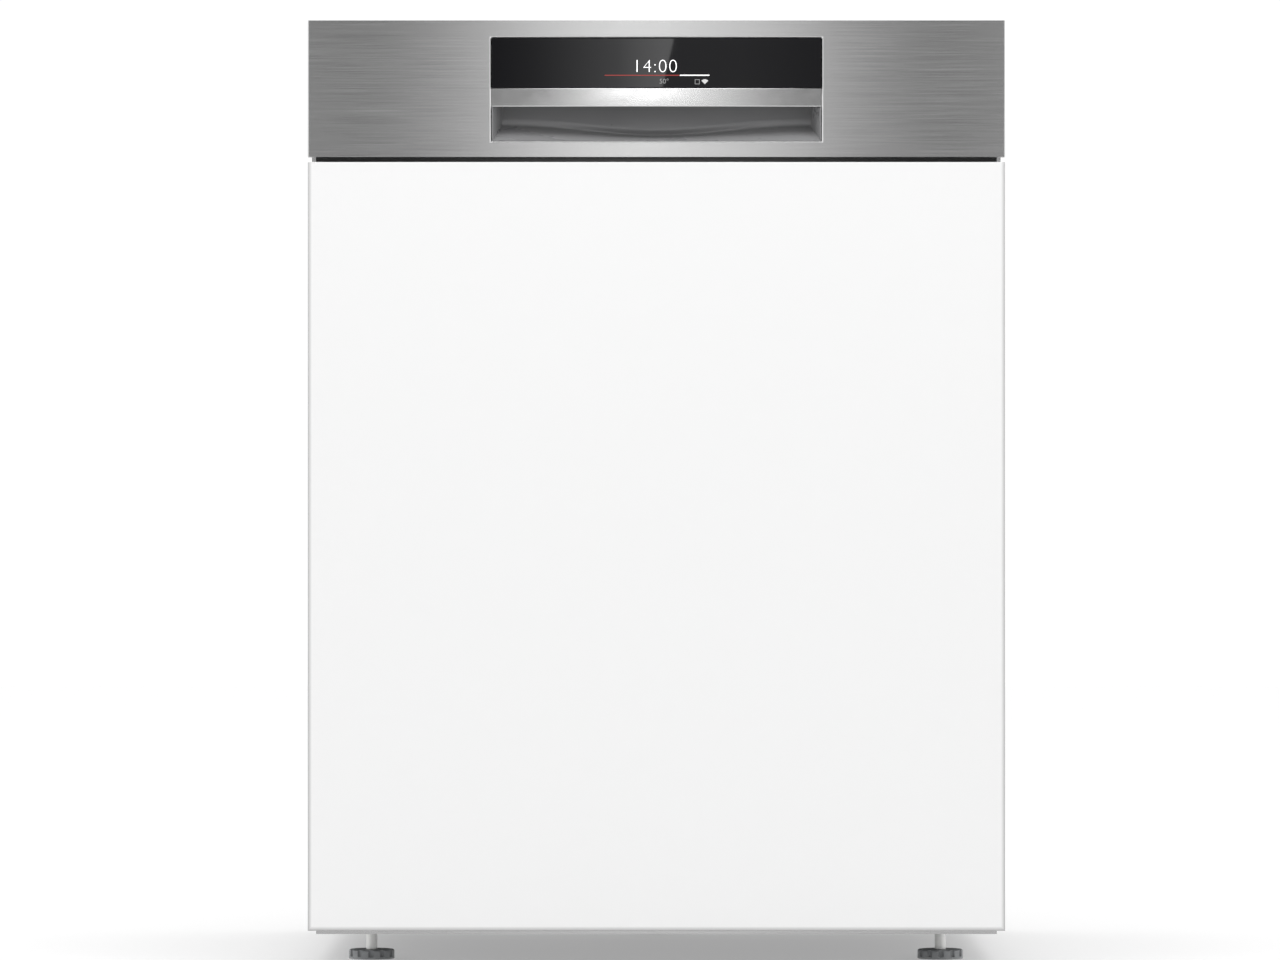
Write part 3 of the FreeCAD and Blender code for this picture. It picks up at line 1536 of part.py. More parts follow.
def cutlery_drawer():
    """Shallow cutlery drawer: slatted floor, walls, runner bars, combs and a front grip."""
    half = tub_half - 22.0
    z0, z1 = cutlery_bottom, cutlery_bottom + cutlery_height
    y0, y1 = rack_front - 2, rack_back
    slats = [
        block((x - 2, x + 2), (y0, y1), (z0, z0 + 3)) for x in places(-half + 8, half - 8, 15)
    ]
    bands = [block((-half, half), (y, y + 5), (z0 - 1.5, z0 + 1.5)) for y in places(y0, y1 - 5, 70)]
    floor = fused(slats + bands)
    walls = [
        block((side * half, side * (half + cutlery_wall)), (y0, y1), (z0 - 1.5, z1)) for side in SIDES
    ]
    walls += [
        block((-half, half), (y0 - cutlery_wall, y0), (z0 - 1.5, z1 - 8)),
        block((-half, half), (y1, y1 + cutlery_wall), (z0 - 1.5, z1)),
    ]
    runners = [
        block(
            (side * (half + cutlery_wall), side * (wall_x - rail_sheet - slide_clearance)),
            (rail_front + 2, rail_back - 2),
            (cutlery_rail_z - 7, cutlery_rail_z + 7),
        )
        for side in SIDES
    ]
    combs = []
    for x in (-half * 0.62, -half * 0.2, half * 0.2, half * 0.62):
        strip = block((x - 1.5, x + 1.5), (y0 + 20, y1 - 20), (z0 + 3, z0 + 20))
        notches = [
            block((x - 3, x + 3), (y, y + 9), (z0 + 8, z0 + 30)) for y in places(y0 + 28, y1 - 40, 18)
        ]
        combs.append(cut(strip, notches))
    grip = block((-110, 110), (y0 - cutlery_wall - 5, y0 - cutlery_wall), (z0 + 8, z1 - 6))
    grip = rounded(grip, 2.0, "x", lambda e: e.CenterOfMass.y < y0 - cutlery_wall - 3)
    return group([floor] + walls + runners + combs + [grip])


PARTS = {
    "fascia": fascia,
    "control_glass": control_glass,
    "handle_trim": handle_trim,
    "grip_bowl": grip_bowl,
    "control_board": control_board,
    "lock_module": lock_module,
    "lock_pawl": lock_pawl,
    "furniture_panel": furniture_panel,
    "door_fasteners": door_fasteners,
    "door_skin": door_skin,
    "door_insulation": door_insulation,
    "door_liner": door_liner,
    "door_lip_seal": door_lip_seal,
    "dispenser_body": dispenser_body,
    "dispenser_lid": dispenser_lid,
    "rinse_cap": rinse_cap,
    "hinge_arms": hinge_arms,
    "hinge_brackets": hinge_brackets,
    "door_springs": door_springs,
    "base_tray": base_tray,
    "front_foot_left": lambda: foot(foot_places()[0]),
    "front_foot_right": lambda: foot(foot_places()[1]),
    "rear_foot": lambda: foot(foot_places()[2]),
    "side_panel_left": lambda: side_panel(LEFT),
    "side_panel_right": lambda: side_panel(RIGHT),
    "back_panel": back_panel,
    "top_cover": top_cover,
    "top_brackets": top_brackets,
    "kick_plate": kick_plate,
    "tub_shell": tub_shell,
    "tub_floor": tub_floor,
    "tub_front_frame": tub_front_frame,
    "tub_seal": tub_seal,
    "tub_insulation": tub_insulation,
    "sump": sump,
    "fine_filter": fine_filter,
    "filter_cup": filter_cup,
    "salt_cap": salt_cap,
    "softener_tank": softener_tank,
    "circulation_pump": circulation_pump,
    "drain_pump": drain_pump,
    "base_hoses": base_hoses,
    "rear_connectors": rear_connectors,
    "air_break_tank": air_break_tank,
    "riser_duct": riser_duct,
    "lower_spray_arm": lower_spray_arm,
    "upper_spray_arm": upper_spray_arm,
    "lower_basket": lower_basket,
    "lower_fold_tines": lower_fold_tines,
    "rack_plastics": rack_plastics,
    "front_wheels": lambda: wheels(wheel_ys[0]),
    "rear_wheels": lambda: wheels(wheel_ys[1]),
    "rack_rails": rack_rails,
    "upper_rail_mid": upper_rail_mid,
    "upper_rail_inner": upper_rail_inner,
    "upper_basket": upper_basket,
    "upper_rack_plastics": upper_rack_plastics,
    "cup_shelf": cup_shelf,
    "upper_feed_pipe": upper_feed_pipe,
    "cutlery_drawer": cutlery_drawer,
}

os.makedirs("parts", exist_ok=True)
for name, make in PARTS.items():
    shape = make()
    if not shape.isValid() or not shape.Solids:
        print("check", name, shape.isValid(), len(shape.Solids))
    shape.exportStep(f"parts/{name}.step")
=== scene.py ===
"""Looks of a built-in dishwasher, in metres: +X to its right, +Y to its back, +Z up.
The sections run as the machine is put together: base, water parts, tub, body, racks, then the door."""
import math

import bpy
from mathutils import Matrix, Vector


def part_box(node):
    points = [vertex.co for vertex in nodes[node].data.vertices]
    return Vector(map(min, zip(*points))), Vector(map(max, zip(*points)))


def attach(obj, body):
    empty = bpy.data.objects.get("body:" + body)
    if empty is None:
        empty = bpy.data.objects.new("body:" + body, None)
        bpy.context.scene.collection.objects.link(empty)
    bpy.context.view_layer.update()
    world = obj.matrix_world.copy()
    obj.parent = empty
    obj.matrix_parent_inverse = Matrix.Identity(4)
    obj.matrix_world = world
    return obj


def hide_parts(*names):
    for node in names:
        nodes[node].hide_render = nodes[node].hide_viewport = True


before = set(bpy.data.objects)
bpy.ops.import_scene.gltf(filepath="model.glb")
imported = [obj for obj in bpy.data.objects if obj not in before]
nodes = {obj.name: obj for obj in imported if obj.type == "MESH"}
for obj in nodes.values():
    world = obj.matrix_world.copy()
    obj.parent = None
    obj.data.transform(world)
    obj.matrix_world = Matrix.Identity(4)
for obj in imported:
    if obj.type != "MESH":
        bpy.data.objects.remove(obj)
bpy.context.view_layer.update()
bpy.ops.object.select_all(action="DESELECT")

# ---------------------------------------------------------------- camera
# A long lens stands six metres in front of the door, square to it, at about half the machine's
# height and a little to the left of its middle.
face_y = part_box("fascia")[0].y
view_distance = 6.0
view_width = 1.0973
view_middle_x = -0.0141
view_middle_z = 0.421
sensor_width = 36.0
upright = (math.pi / 2, 0, 0)
camera_place = (view_middle_x, face_y - view_distance, view_middle_z)
bpy.ops.object.camera_add(location=camera_place, rotation=upright)
camera = bpy.context.object
camera.name = "front_camera"
camera.data.sensor_width = sensor_width
camera.data.lens = sensor_width * view_distance / view_width
bpy.context.scene.camera = camera
bpy.context.scene.view_settings.view_transform = "Standard"


# ---------------------------------------------------------------- studio
# A white room with a pale floor and a softbox overhead. A tall graded card behind the camera is what
# the brushed steel mirrors, and a small card with a slanted edge gives the dark glass its gloss.
def along_axes(tree, place):
    """The coordinates of a place, apart: X, Y and Z."""
    split = tree.nodes.new("ShaderNodeSeparateXYZ")
    tree.links.new(place, split.inputs[0])
    return split.outputs


def worked(tree, operation, first, second=0.0):
    """One sum on numbers or patterns."""
    step = tree.nodes.new("ShaderNodeMath")
    step.operation = operation
    for socket, value in zip(step.inputs, (first, second)):
        if isinstance(value, float):
            socket.default_value = value
        else:
            tree.links.new(value, socket)
    return step.outputs[0]


def ranged(tree, value, low, high, new_low, new_high, curve="LINEAR"):
    """Carries a pattern from one range over to another, and holds it at the ends."""
    band = tree.nodes.new("ShaderNodeMapRange")
    band.interpolation_type = curve
    band.inputs["From Min"].default_value = low
    band.inputs["From Max"].default_value = high
    band.inputs["To Min"].default_value = new_low
    band.inputs["To Max"].default_value = new_high
    tree.links.new(value, band.inputs["Value"])
    return band.outputs["Result"]


white = (1.0, 1.0, 1.0, 1.0)
room_light = 1.04
side_light = 0.35
side_from = 0.35
side_to = 0.95
faced_light = 0.72
faced_from = -0.7
world = bpy.data.worlds.new("white_room")
bpy.context.scene.world = world
world.use_nodes = True
room = world.node_tree
way = room.nodes.new("ShaderNodeTexCoord").outputs["Generated"]
room_axes = along_axes(room, way)
aside = worked(room, "MAXIMUM", worked(room, "ABSOLUTE", room_axes["X"]), room_axes["Z"])
walls = ranged(room, aside, side_from, side_to, room_light, room_light + side_light, "SMOOTHSTEP")
faced_wall = ranged(room, room_axes["Y"], faced_from, 0.0, faced_light, 1.0)
room_shine = room.nodes["Background"]
room.links.new(worked(room, "MULTIPLY", walls, faced_wall), room_shine.inputs["Strength"])
room_shine.inputs["Color"].default_value = white

floor_size = 16.0
floor_tone = 0.52
floor_glow = 0.34
bpy.ops.mesh.primitive_plane_add(size=floor_size)
floor = bpy.context.object
floor.name = "studio_floor"
paint = bpy.data.materials.new("pale_floor")
paint.use_nodes = True
matt = paint.node_tree.nodes["Principled BSDF"]
matt.inputs["Base Color"].default_value = (floor_tone, floor_tone, floor_tone, 1.0)
matt.inputs["Roughness"].default_value = 0.95
matt.inputs["Emission Color"].default_value = white
matt.inputs["Emission Strength"].default_value = floor_glow
floor.data.materials.append(paint)

softbox_place = (0.0, face_y - 1.1, 2.6)
softbox_tilt = math.radians(27)
bpy.ops.object.light_add(type="AREA", location=softbox_place, rotation=(softbox_tilt, 0, 0))
softbox = bpy.context.object
softbox.name = "softbox"
softbox.data.shape = "RECTANGLE"
softbox.data.size = 2.6
softbox.data.size_y = 1.0
softbox.data.energy = 30.0


def light_card(name, low, high, y, strength, grade, slant=0.0):
    """An upright card, unseen by the camera, that shines by a grade of (share of its width, level)."""
    middle = ((low[0] + high[0]) / 2, y, (low[1] + high[1]) / 2)
    bpy.ops.mesh.primitive_plane_add(size=1.0, location=middle, rotation=upright)
    card = bpy.context.object
    card.name = name
    card.scale = (high[0] - low[0], high[1] - low[1], 1.0)
    bpy.ops.object.transform_apply(location=True, rotation=True, scale=True)
    if slant:
        bpy.ops.object.mode_set(mode="EDIT")
        bpy.ops.mesh.select_all(action="SELECT")
        bpy.ops.mesh.bisect(
            plane_co=(high[0], y, high[1]),
            plane_no=(math.cos(slant), 0, -math.sin(slant)),
            clear_outer=True,
        )
        bpy.ops.object.mode_set(mode="OBJECT")
    shine = bpy.data.materials.new(name + "_shine")
    shine.use_nodes = True
    tree = shine.node_tree
    tree.nodes.clear()
    place = tree.nodes.new("ShaderNodeTexCoord").outputs["Object"]
    across = ranged(tree, along_axes(tree, place)["X"], low[0], high[0], 0.0, 1.0)
    ramp = tree.nodes.new("ShaderNodeValToRGB")
    ramp.color_ramp.interpolation = "B_SPLINE"
    while len(ramp.color_ramp.elements) < len(grade):
        ramp.color_ramp.elements.new(0.5)
    for element, (share, level) in zip(ramp.color_ramp.elements, grade):
        element.position = share
        element.color = (level, level, level, 1.0)
    emission = tree.nodes.new("ShaderNodeEmission")
    emission.inputs["Strength"].default_value = strength
    output = tree.nodes.new("ShaderNodeOutputMaterial")
    tree.links.new(across, ramp.inputs["Fac"])
    tree.links.new(ramp.outputs["Color"], emission.inputs["Color"])
    tree.links.new(emission.outputs["Emission"], output.inputs["Surface"])
    card.data.materials.append(shine)
    card.visible_camera = False


steel_grade = [
    (0.0, 0.70), (0.16, 0.44), (0.27, 0.13), (0.34, 0.22), (0.42, 0.95),
    (0.5, 1.40), (0.58, 0.95), (0.66, 0.22), (0.73, 0.13), (0.84, 0.46), (1.0, 0.75),
]
tall_low = (-1.2, 0.02)
tall_high = (1.2, 3.4)
tall_y = face_y - view_distance - 0.4
light_card("tall_card", tall_low, tall_high, tall_y, 1.0, steel_grade)
gloss_grade = [(0.0, 0.0), (0.40, 0.05), (0.75, 0.5), (0.9, 0.9), (1.0, 1.0)]
gloss_low = (-0.36, 1.083)
gloss_high = (0.049, 1.20)
gloss_y = face_y - view_distance
gloss_slant = math.radians(13)
light_card("slanted_card", gloss_low, gloss_high, gloss_y, 6.5, gloss_grade, gloss_slant)


# ---------------------------------------------------------------- base and feet
# The base is a coarse black moulding that catches leaks and carries the pumps. Each of its three feet
# is a ribbed disc of grey plastic on a zinc-plated steel stem that screws up into it.
def finish(name, colour, roughness, metallic=0.0):
    """A finish with one shader. Returns it with its nodes, the shader, and where patterns start from."""
    made = bpy.data.materials.new(name)
    made.use_nodes = True
    tree = made.node_tree
    shader = tree.nodes["Principled BSDF"]
    shader.inputs["Base Color"].default_value = (*colour, 1.0)
    shader.inputs["Roughness"].default_value = roughness
    shader.inputs["Metallic"].default_value = metallic
    return made, tree, shader, tree.nodes.new("ShaderNodeTexCoord").outputs["Object"]


def stretched(tree, place, scale):
    """The same place, scaled unevenly, so that a pattern read from it runs long one way."""
    mapping = tree.nodes.new("ShaderNodeMapping")
    mapping.inputs["Scale"].default_value = scale
    tree.links.new(place, mapping.inputs["Vector"])
    return mapping.outputs["Vector"]


def cloud(tree, place, scale, detail=3.0):
    """A soft random pattern from 0 to 1, with about scale patches to the metre."""
    pattern = tree.nodes.new("ShaderNodeTexNoise")
    pattern.inputs["Scale"].default_value = scale
    pattern.inputs["Detail"].default_value = detail
    tree.links.new(place, pattern.inputs["Vector"])
    return pattern.outputs["Fac"]


def shade(tree, shader, pattern, dark, light, start=0.3, end=0.7):
    """Colours the surface by a pattern, from a dark to a light tone."""
    ramp = tree.nodes.new("ShaderNodeValToRGB")
    ramp.color_ramp.elements[0].position = start
    ramp.color_ramp.elements[1].position = end
    ramp.color_ramp.elements[0].color = (*dark, 1.0)
    ramp.color_ramp.elements[1].color = (*light, 1.0)
    tree.links.new(pattern, ramp.inputs["Fac"])
    tree.links.new(ramp.outputs["Color"], shader.inputs["Base Color"])


def dull(tree, shader, pattern, low, high, start=0.3, end=0.7):
    """Lets a pattern move the roughness between two values."""
    tree.links.new(ranged(tree, pattern, start, end, low, high), shader.inputs["Roughness"])


def emboss(tree, shader, pattern, depth, strength):
    """Raises the surface by a pattern, depth in metres."""
    bump = tree.nodes.new("ShaderNodeBump")
    bump.inputs["Strength"].default_value = strength
    bump.inputs["Distance"].default_value = depth
    tree.links.new(pattern, bump.inputs["Height"])
    tree.links.new(bump.outputs["Normal"], shader.inputs["Normal"])


def moulded(name, colour, roughness, grain=1400.0, depth=0.00004):
    """Moulded plastic: fine eroded grain, and cloudy marks from handling in its tone and gloss."""
    made, tree, shader, place = finish(name, colour, roughness)
    darker = tuple(level * 0.88 for level in colour)
    shade(tree, shader, cloud(tree, place, 9.0), darker, colour)
    dull(tree, shader, cloud(tree, place, 22.0, detail=5.0), roughness - 0.07, roughness + 0.09)
    emboss(tree, shader, cloud(tree, place, grain, detail=1.0), depth, strength=0.5)
    return made


def mixed(tree, first, second, share):
    """Two patterns mixed, with a share of the second."""
    mix = tree.nodes.new("ShaderNodeMix")
    mix.inputs["Factor"].default_value = share
    tree.links.new(first, mix.inputs["A"])
    tree.links.new(second, mix.inputs["B"])
    return mix.outputs["Result"]


def coat(material, *names):
    """Gives CAD nodes a finish."""
    for name in names:
        nodes[name].data.materials.clear()
        nodes[name].data.materials.append(material)


sharp_angle = math.radians(40)


def soften(width, *names):
    """Rounds the sharp edges of CAD nodes a little, as a mould or a fold leaves them."""
    for name in names:
        weld = nodes[name].modifiers.new("weld", "WELD")
        weld.merge_threshold = 0.00001
        bevel = nodes[name].modifiers.new("edge_radius", "BEVEL")
        bevel.width = width
        bevel.segments = 2
        bevel.limit_method = "ANGLE"
        bevel.angle_limit = sharp_angle


base_black = (0.035, 0.036, 0.039)
coat(moulded("base_moulding", base_black, 0.55, grain=700.0, depth=0.00012), "base_tray")
soften(0.0006, "base_tray")
foot_disc_top = 0.0082


def foot_finish(name):
    """Grey moulding up to the top of the foot's disc, and zinc-plated steel above it, on the stem."""
    disc_grey = (0.26, 0.27, 0.28)
    zinc_grey = (0.62, 0.62, 0.61)
    made, tree, shader, place = finish(name, disc_grey, 0.48)
    on_stem = worked(tree, "GREATER_THAN", along_axes(tree, place)["Z"], foot_disc_top)
    tree.links.new(on_stem, shader.inputs["Metallic"])
    mottled = mixed(tree, on_stem, cloud(tree, place, 60.0), share=0.3)
    shade(tree, shader, mottled, disc_grey, zinc_grey, start=0.1, end=0.9)
    dull(tree, shader, mottled, 0.50, 0.28, start=0.1, end=0.9)
    emboss(tree, shader, cloud(tree, place, 1400.0, detail=1.0), depth=0.00004, strength=0.5)
    return made


coat(foot_finish("foot_moulding"), "front_foot_left", "front_foot_right", "rear_foot")

# ---------------------------------------------------------------- water parts
# Sump, softener tank and pumps are plain mouldings, clipped together in the base before the tub goes
# on and joined by smooth black rubber hoses. The flat air-break tank sits on the tub's left side.
water_grey = moulded("water_grey", (0.27, 0.28, 0.29), 0.40)
pale_moulding = moulded("pale_moulding", (0.72, 0.72, 0.70), 0.36)
dark_moulding = moulded("dark_moulding", (0.06, 0.06, 0.065), 0.42)
coat(water_grey, "sump", "drain_pump")
coat(pale_moulding, "softener_tank", "air_break_tank")
coat(dark_moulding, "rear_connectors", "circulation_pump")
soften(0.0004, "rear_connectors")


def rubber(name, tone):
    """Matt rubber with a slightly uneven bloom."""
    made, tree, shader, place = finish(name, (tone, tone, tone), 0.62)
    bloom = cloud(tree, place, 30.0, detail=5.0)
    shade(tree, shader, bloom, (tone * 0.8,) * 3, (tone * 1.5,) * 3)
    dull(tree, shader, cloud(tree, place, 60.0), 0.52, 0.75)
    emboss(tree, shader, cloud(tree, place, 800.0), depth=0.00004, strength=0.4)
    return made


coat(rubber("hose_rubber", 0.10), "base_hoses")


# ---------------------------------------------------------------- tub
# The tub, its floor and the flange round its mouth are thin stainless steel, seam-welded. The drawn
# sheet keeps a fine satin grain, and water leaves a faint clouding on it.
def satin_steel(name, tone, roughness, along):
    """Stainless steel with a fine grain that runs along one axis."""
    made, tree, shader, place = finish(name, (tone, tone, tone), roughness, metallic=1.0)
    lengthwise = 24.0
    crosswise = 1600.0
    scale = tuple(lengthwise if axis == along else crosswise for axis in "xyz")
    grain = cloud(tree, stretched(tree, place, scale), 1.0, detail=2.0)
    dull(tree, shader, grain, roughness * 0.85, roughness * 1.2)
    water_marks = cloud(tree, place, 7.0, detail=4.0)
    shade(tree, shader, water_marks, (tone * 0.9,) * 3, (tone, tone, tone * 1.01))
    emboss(tree, shader, grain, depth=0.00001, strength=0.25)
    return made


coat(satin_steel("tub_steel", 0.62, 0.27, "y"), "tub_shell", "tub_floor", "tub_front_frame")


# ---------------------------------------------------------------- mats and gasket
# Felt mats stuck to the tub's outside, and a felt pad inside the door, deaden the noise. The gasket
# is a black rubber profile pushed onto the flange round the mouth, and the door's foot has a lip seal.
def felt(name):
    """Pressed grey felt: a fibrous two-tone surface."""
    made, tree, shader, place = finish(name, (0.12, 0.12, 0.125), 0.95)
    fibres = cloud(tree, place, 420.0, detail=6.0)
    shade(tree, shader, fibres, (0.05, 0.05, 0.055), (0.2, 0.2, 0.21))
    emboss(tree, shader, fibres, depth=0.0005, strength=0.8)
    shader.inputs["Sheen Weight"].default_value = 0.4
    return made


coat(felt("pressed_felt"), "tub_insulation", "door_insulation")
coat(rubber("gasket_rubber", 0.028), "tub_seal", "door_lip_seal")
soften(0.0028, "tub_seal")


# ---------------------------------------------------------------- outer sheets
# Side, back and top sheets are thin zinc-coated steel with small spangle, left bare because kitchen
# units hide them. Tabs, brackets and hinge plates are punched from thicker sheet, the plinth plate is
# painted black, and the door's springs are wound from bright steel wire.
def galvanised(name, tone, spangle=150.0):
    """Hot-dip zinc: flat crystals of slightly different greys under a dull sheen."""
    made, tree, shader, place = finish(name, (tone, tone, tone), 0.38, metallic=0.85)
    crystals = tree.nodes.new("ShaderNodeTexVoronoi")
    crystals.inputs["Scale"].default_value = spangle
    tree.links.new(place, crystals.inputs["Vector"])
    tones = tree.nodes.new("ShaderNodeSeparateColor")
    tree.links.new(crystals.outputs["Color"], tones.inputs["Color"])
    darkest = (tone * 0.88,) * 3
    lightest = (tone, tone * 1.005, tone * 1.015)
    shade(tree, shader, tones.outputs[0], darkest, lightest, start=0.0, end=1.0)
    dull(tree, shader, tones.outputs[1], 0.34, 0.44, start=0.0, end=1.0)
    emboss(tree, shader, cloud(tree, place, 160.0), depth=0.00003, strength=0.4)
    return made


zinc_sheet = galvanised("zinc_sheet", 0.43)
coat(zinc_sheet, "side_panel_left", "side_panel_right", "back_panel", "top_cover")
coat(galvanised("zinc_bracket", 0.38, spangle=220.0), "top_brackets", "hinge_brackets", "hinge_arms")
coat(moulded("plinth_coat", (0.045, 0.045, 0.05), 0.42, grain=900.0, depth=0.00006), "kick_plate")
coat(satin_steel("spring_wire", 0.5, 0.3, "y"), "door_springs")

# ---------------------------------------------------------------- rails, duct and spray arms
# The rails are rolled stainless channels on the tub's walls. The duct up the back wall feeds the upper
# arm through a pipe. Both arms are flat grey mouldings with round tips and a row of spray holes on top.
coat(satin_steel("rail_steel", 0.6, 0.24, "y"), "rack_rails", "upper_rail_mid", "upper_rail_inner")
duct_moulding = moulded("duct_moulding", (0.30, 0.31, 0.33), 0.36)
coat(duct_moulding, "riser_duct", "upper_feed_pipe", "lower_spray_arm", "upper_spray_arm")
soften(0.0005, "riser_duct", "upper_feed_pipe")


# ---------------------------------------------------------------- filters and salt cap
# A round plate of punched steel lies over the sump. The filter cup twists out of it by its cross bar,
# and the salt cap screws onto the softener's neck.
def punched_steel(name):
    """Satin steel with fine round holes, lower than the sheet and painted near-black as the shade inside
    them.
    """
    made, tree, shader, place = finish(name, (0.6, 0.6, 0.6), 0.3, metallic=1.0)
    holes = tree.nodes.new("ShaderNodeTexVoronoi")
    holes.inputs["Scale"].default_value = 620.0
    holes.inputs["Randomness"].default_value = 0.12
    tree.links.new(place, holes.inputs["Vector"])
    from_hole = holes.outputs["Distance"]
    # Painted shade: the holes are near-black, standing for the shade inside them.
    shade(tree, shader, from_hole, (0.03, 0.03, 0.03), (0.62, 0.62, 0.62), start=0.28, end=0.38)
    emboss(tree, shader, from_hole, depth=0.0002, strength=0.6)
    return made


coat(punched_steel("filter_mesh"), "fine_filter")
coat(moulded("filter_grey", (0.36, 0.37, 0.39), 0.35), "filter_cup")
coat(water_grey, "salt_cap")
soften(0.0005, "filter_cup", "salt_cap")


# ---------------------------------------------------------------- lower rack
# The rack is a basket of steel wire, bent to shape, welded, and dipped in grey nylon. Straight tines
# stand on its floor, and one row of them folds down. Wheels, their carriers, clips and the front grip
# are moulded and snapped on.
def working_on(piece):
    """Leaves edit mode and makes one piece the only selected one."""
    if bpy.context.object and bpy.context.object.mode == "EDIT":
        bpy.ops.object.mode_set(mode="OBJECT")
    bpy.ops.object.select_all(action="DESELECT")
    piece.select_set(True)
    bpy.context.view_layer.objects.active = piece


def pick(piece, kind, test):
    """Opens a piece in edit mode, with what passes test(middle, direction) selected."""
    working_on(piece)
    bpy.ops.object.mode_set(mode="EDIT")
    bpy.ops.mesh.select_mode(type=kind)
    bpy.ops.mesh.select_all(action="DESELECT")
    bpy.ops.object.mode_set(mode="OBJECT")
    points = piece.data.vertices
    if kind == "VERT":
        for point in points:
            point.select = test(point.co, point.normal)
    elif kind == "EDGE":
        for edge in piece.data.edges:
            start, end = (points[index].co for index in edge.vertices)
            edge.select = test((start + end) / 2, (end - start).normalized())
    else:
        for face in piece.data.polygons:
            face.select = test(face.center, face.normal)
    bpy.ops.object.mode_set(mode="EDIT")


def settled(piece):
    """Moves the piece's place into its mesh."""
    working_on(piece)
    bpy.ops.object.transform_apply(location=True, rotation=True, scale=True)
    return piece


def box_start(name, low, high):
    """A block between two corners, to be shaped further."""
    middle = [(a + b) / 2 for a, b in zip(low, high)]
    bpy.ops.mesh.primitive_cube_add(size=1.0, location=middle)
    piece = bpy.context.object
    piece.name = name
    piece.scale = [b - a for a, b in zip(low, high)]
    return settled(piece)


def copied(piece, shift):
    """Another of the same piece, with its own mesh, moved by a shift."""
    other = piece.copy()
    other.data = piece.data.copy()
    bpy.context.collection.objects.link(other)
    other.location = shift
    return settled(other)


def joined(name, pieces):
    """One piece made of several."""
    bpy.ops.object.select_all(action="DESELECT")
    for piece in pieces:
        piece.select_set(True)
    bpy.context.view_layer.objects.active = pieces[0]
    bpy.ops.object.join()
    pieces[0].name = name
    return pieces[0]


hair = 1e-5
nearly = 0.9


def bent_wire(size, corner, radius, middle, turn, open_top):
    """A round wire along a rectangle with bent corners; with open_top it is a U."""
    bpy.ops.mesh.primitive_plane_add(size=1.0)
    wire = bpy.context.object
    wire.scale = (size[0], size[1], 1.0)
    settled(wire)
    top = size[1] / 2 - hair
    pick(wire, "VERT", lambda place, _: not open_top or place.y < top)
    bpy.ops.mesh.bevel(offset=corner, segments=5, affect="VERTICES")
    bpy.ops.mesh.select_all(action="SELECT")
    bpy.ops.mesh.delete(type="ONLY_FACE")
    if open_top:
        pick(wire, "EDGE", lambda place, _: place.y > top)
        bpy.ops.mesh.delete(type="EDGE")
    bpy.ops.object.mode_set(mode="OBJECT")
    bpy.ops.object.convert(target="CURVE")
    wire.data.bevel_depth = radius
    wire.data.bevel_resolution = 1
    wire.data.use_fill_caps = True
    bpy.ops.object.convert(target="MESH")
    wire.rotation_euler = turn
    wire.location = middle
    return settled(wire)


def even(low, high, count):
    """Evenly spaced places from low to high."""
    return [low + (high - low) * i / (count - 1) for i in range(count)]


tine_sides = 8


def pin(radius, low, high):
    """An upright wire end with a rounded tip."""
    middle = (low[0], low[1], (low[2] + high) / 2)
    tall = high - low[2]
    bpy.ops.mesh.primitive_cylinder_add(vertices=tine_sides, radius=radius, depth=tall, location=middle)
    tine = settled(bpy.context.object)
    pick(tine, "FACE", lambda place, normal: normal.z > nearly)
    bpy.ops.mesh.inset(thickness=radius * 0.3, depth=0.0)
    bpy.ops.transform.translate(value=(0, 0, radius * 0.7))
    bpy.ops.mesh.inset(thickness=radius * 0.4, depth=radius * 0.25)
    return settled(tine)


wire_radius = 0.002
tine_radius = 0.00175
wire_layer = 2 * wire_radius - 0.0006
cross_count = 11
length_count = 13
bend_radius = 0.014
rail_bend = 0.02
first_wire = 0.022
rail_lift = 0.012
wire_crease = math.radians(50)


def wire_basket(name, box, rails, rim_z, floor_z, tine_rows, tine_top):
    """Crossing U wires, rails all round, and rows of tines, joined into one piece."""
    low, high = box
    half = high.x - wire_radius - wire_layer
    front, back = low.y + wire_radius + wire_layer, high.y - wire_radius - wire_layer
    middle_y = (front + back) / 2
    tall = rim_z - floor_z
    middle_z = (rim_z + floor_z) / 2
    xs = even(-half + first_wire, half - first_wire, length_count)
    ys = even(front + first_wire, back - first_wire, cross_count)
    cross = bent_wire((2 * half, tall), bend_radius, wire_radius, (0, ys[0], middle_z), upright, True)
    parts = [cross] + [copied(cross, (0, y - ys[0], 0)) for y in ys[1:]]
    long_floor = floor_z + wire_layer
    long_middle = (rim_z + long_floor) / 2
    sideways = (math.pi / 2, 0, math.pi / 2)
    long_size = (back - front, rim_z - long_floor)
    length = bent_wire(long_size, bend_radius, wire_radius, (xs[0], middle_y, long_middle), sideways, True)
    parts += [length] + [copied(length, (x - xs[0], 0, 0)) for x in xs[1:]]
    loop_size = (2 * (half + wire_layer), back - front + 2 * wire_layer)
    loop = bent_wire(loop_size, rail_bend, wire_radius, (0, middle_y, rails[0]), (0, 0, 0), False)
    parts += [loop] + [copied(loop, (0, 0, z - rails[0])) for z in rails[1:]]
    tine_foot = long_floor + wire_radius * 0.6
    tine = pin(tine_radius, (xs[tine_rows[0]], ys[1], tine_foot), tine_top)
    for row in tine_rows:
        parts += [copied(tine, (xs[row] - xs[tine_rows[0]], y - ys[1], 0)) for y in ys[1:-1]]
    bpy.data.objects.remove(tine)
    basket = joined(name, parts)
    bpy.ops.object.shade_smooth_by_angle(angle=wire_crease)
    return basket


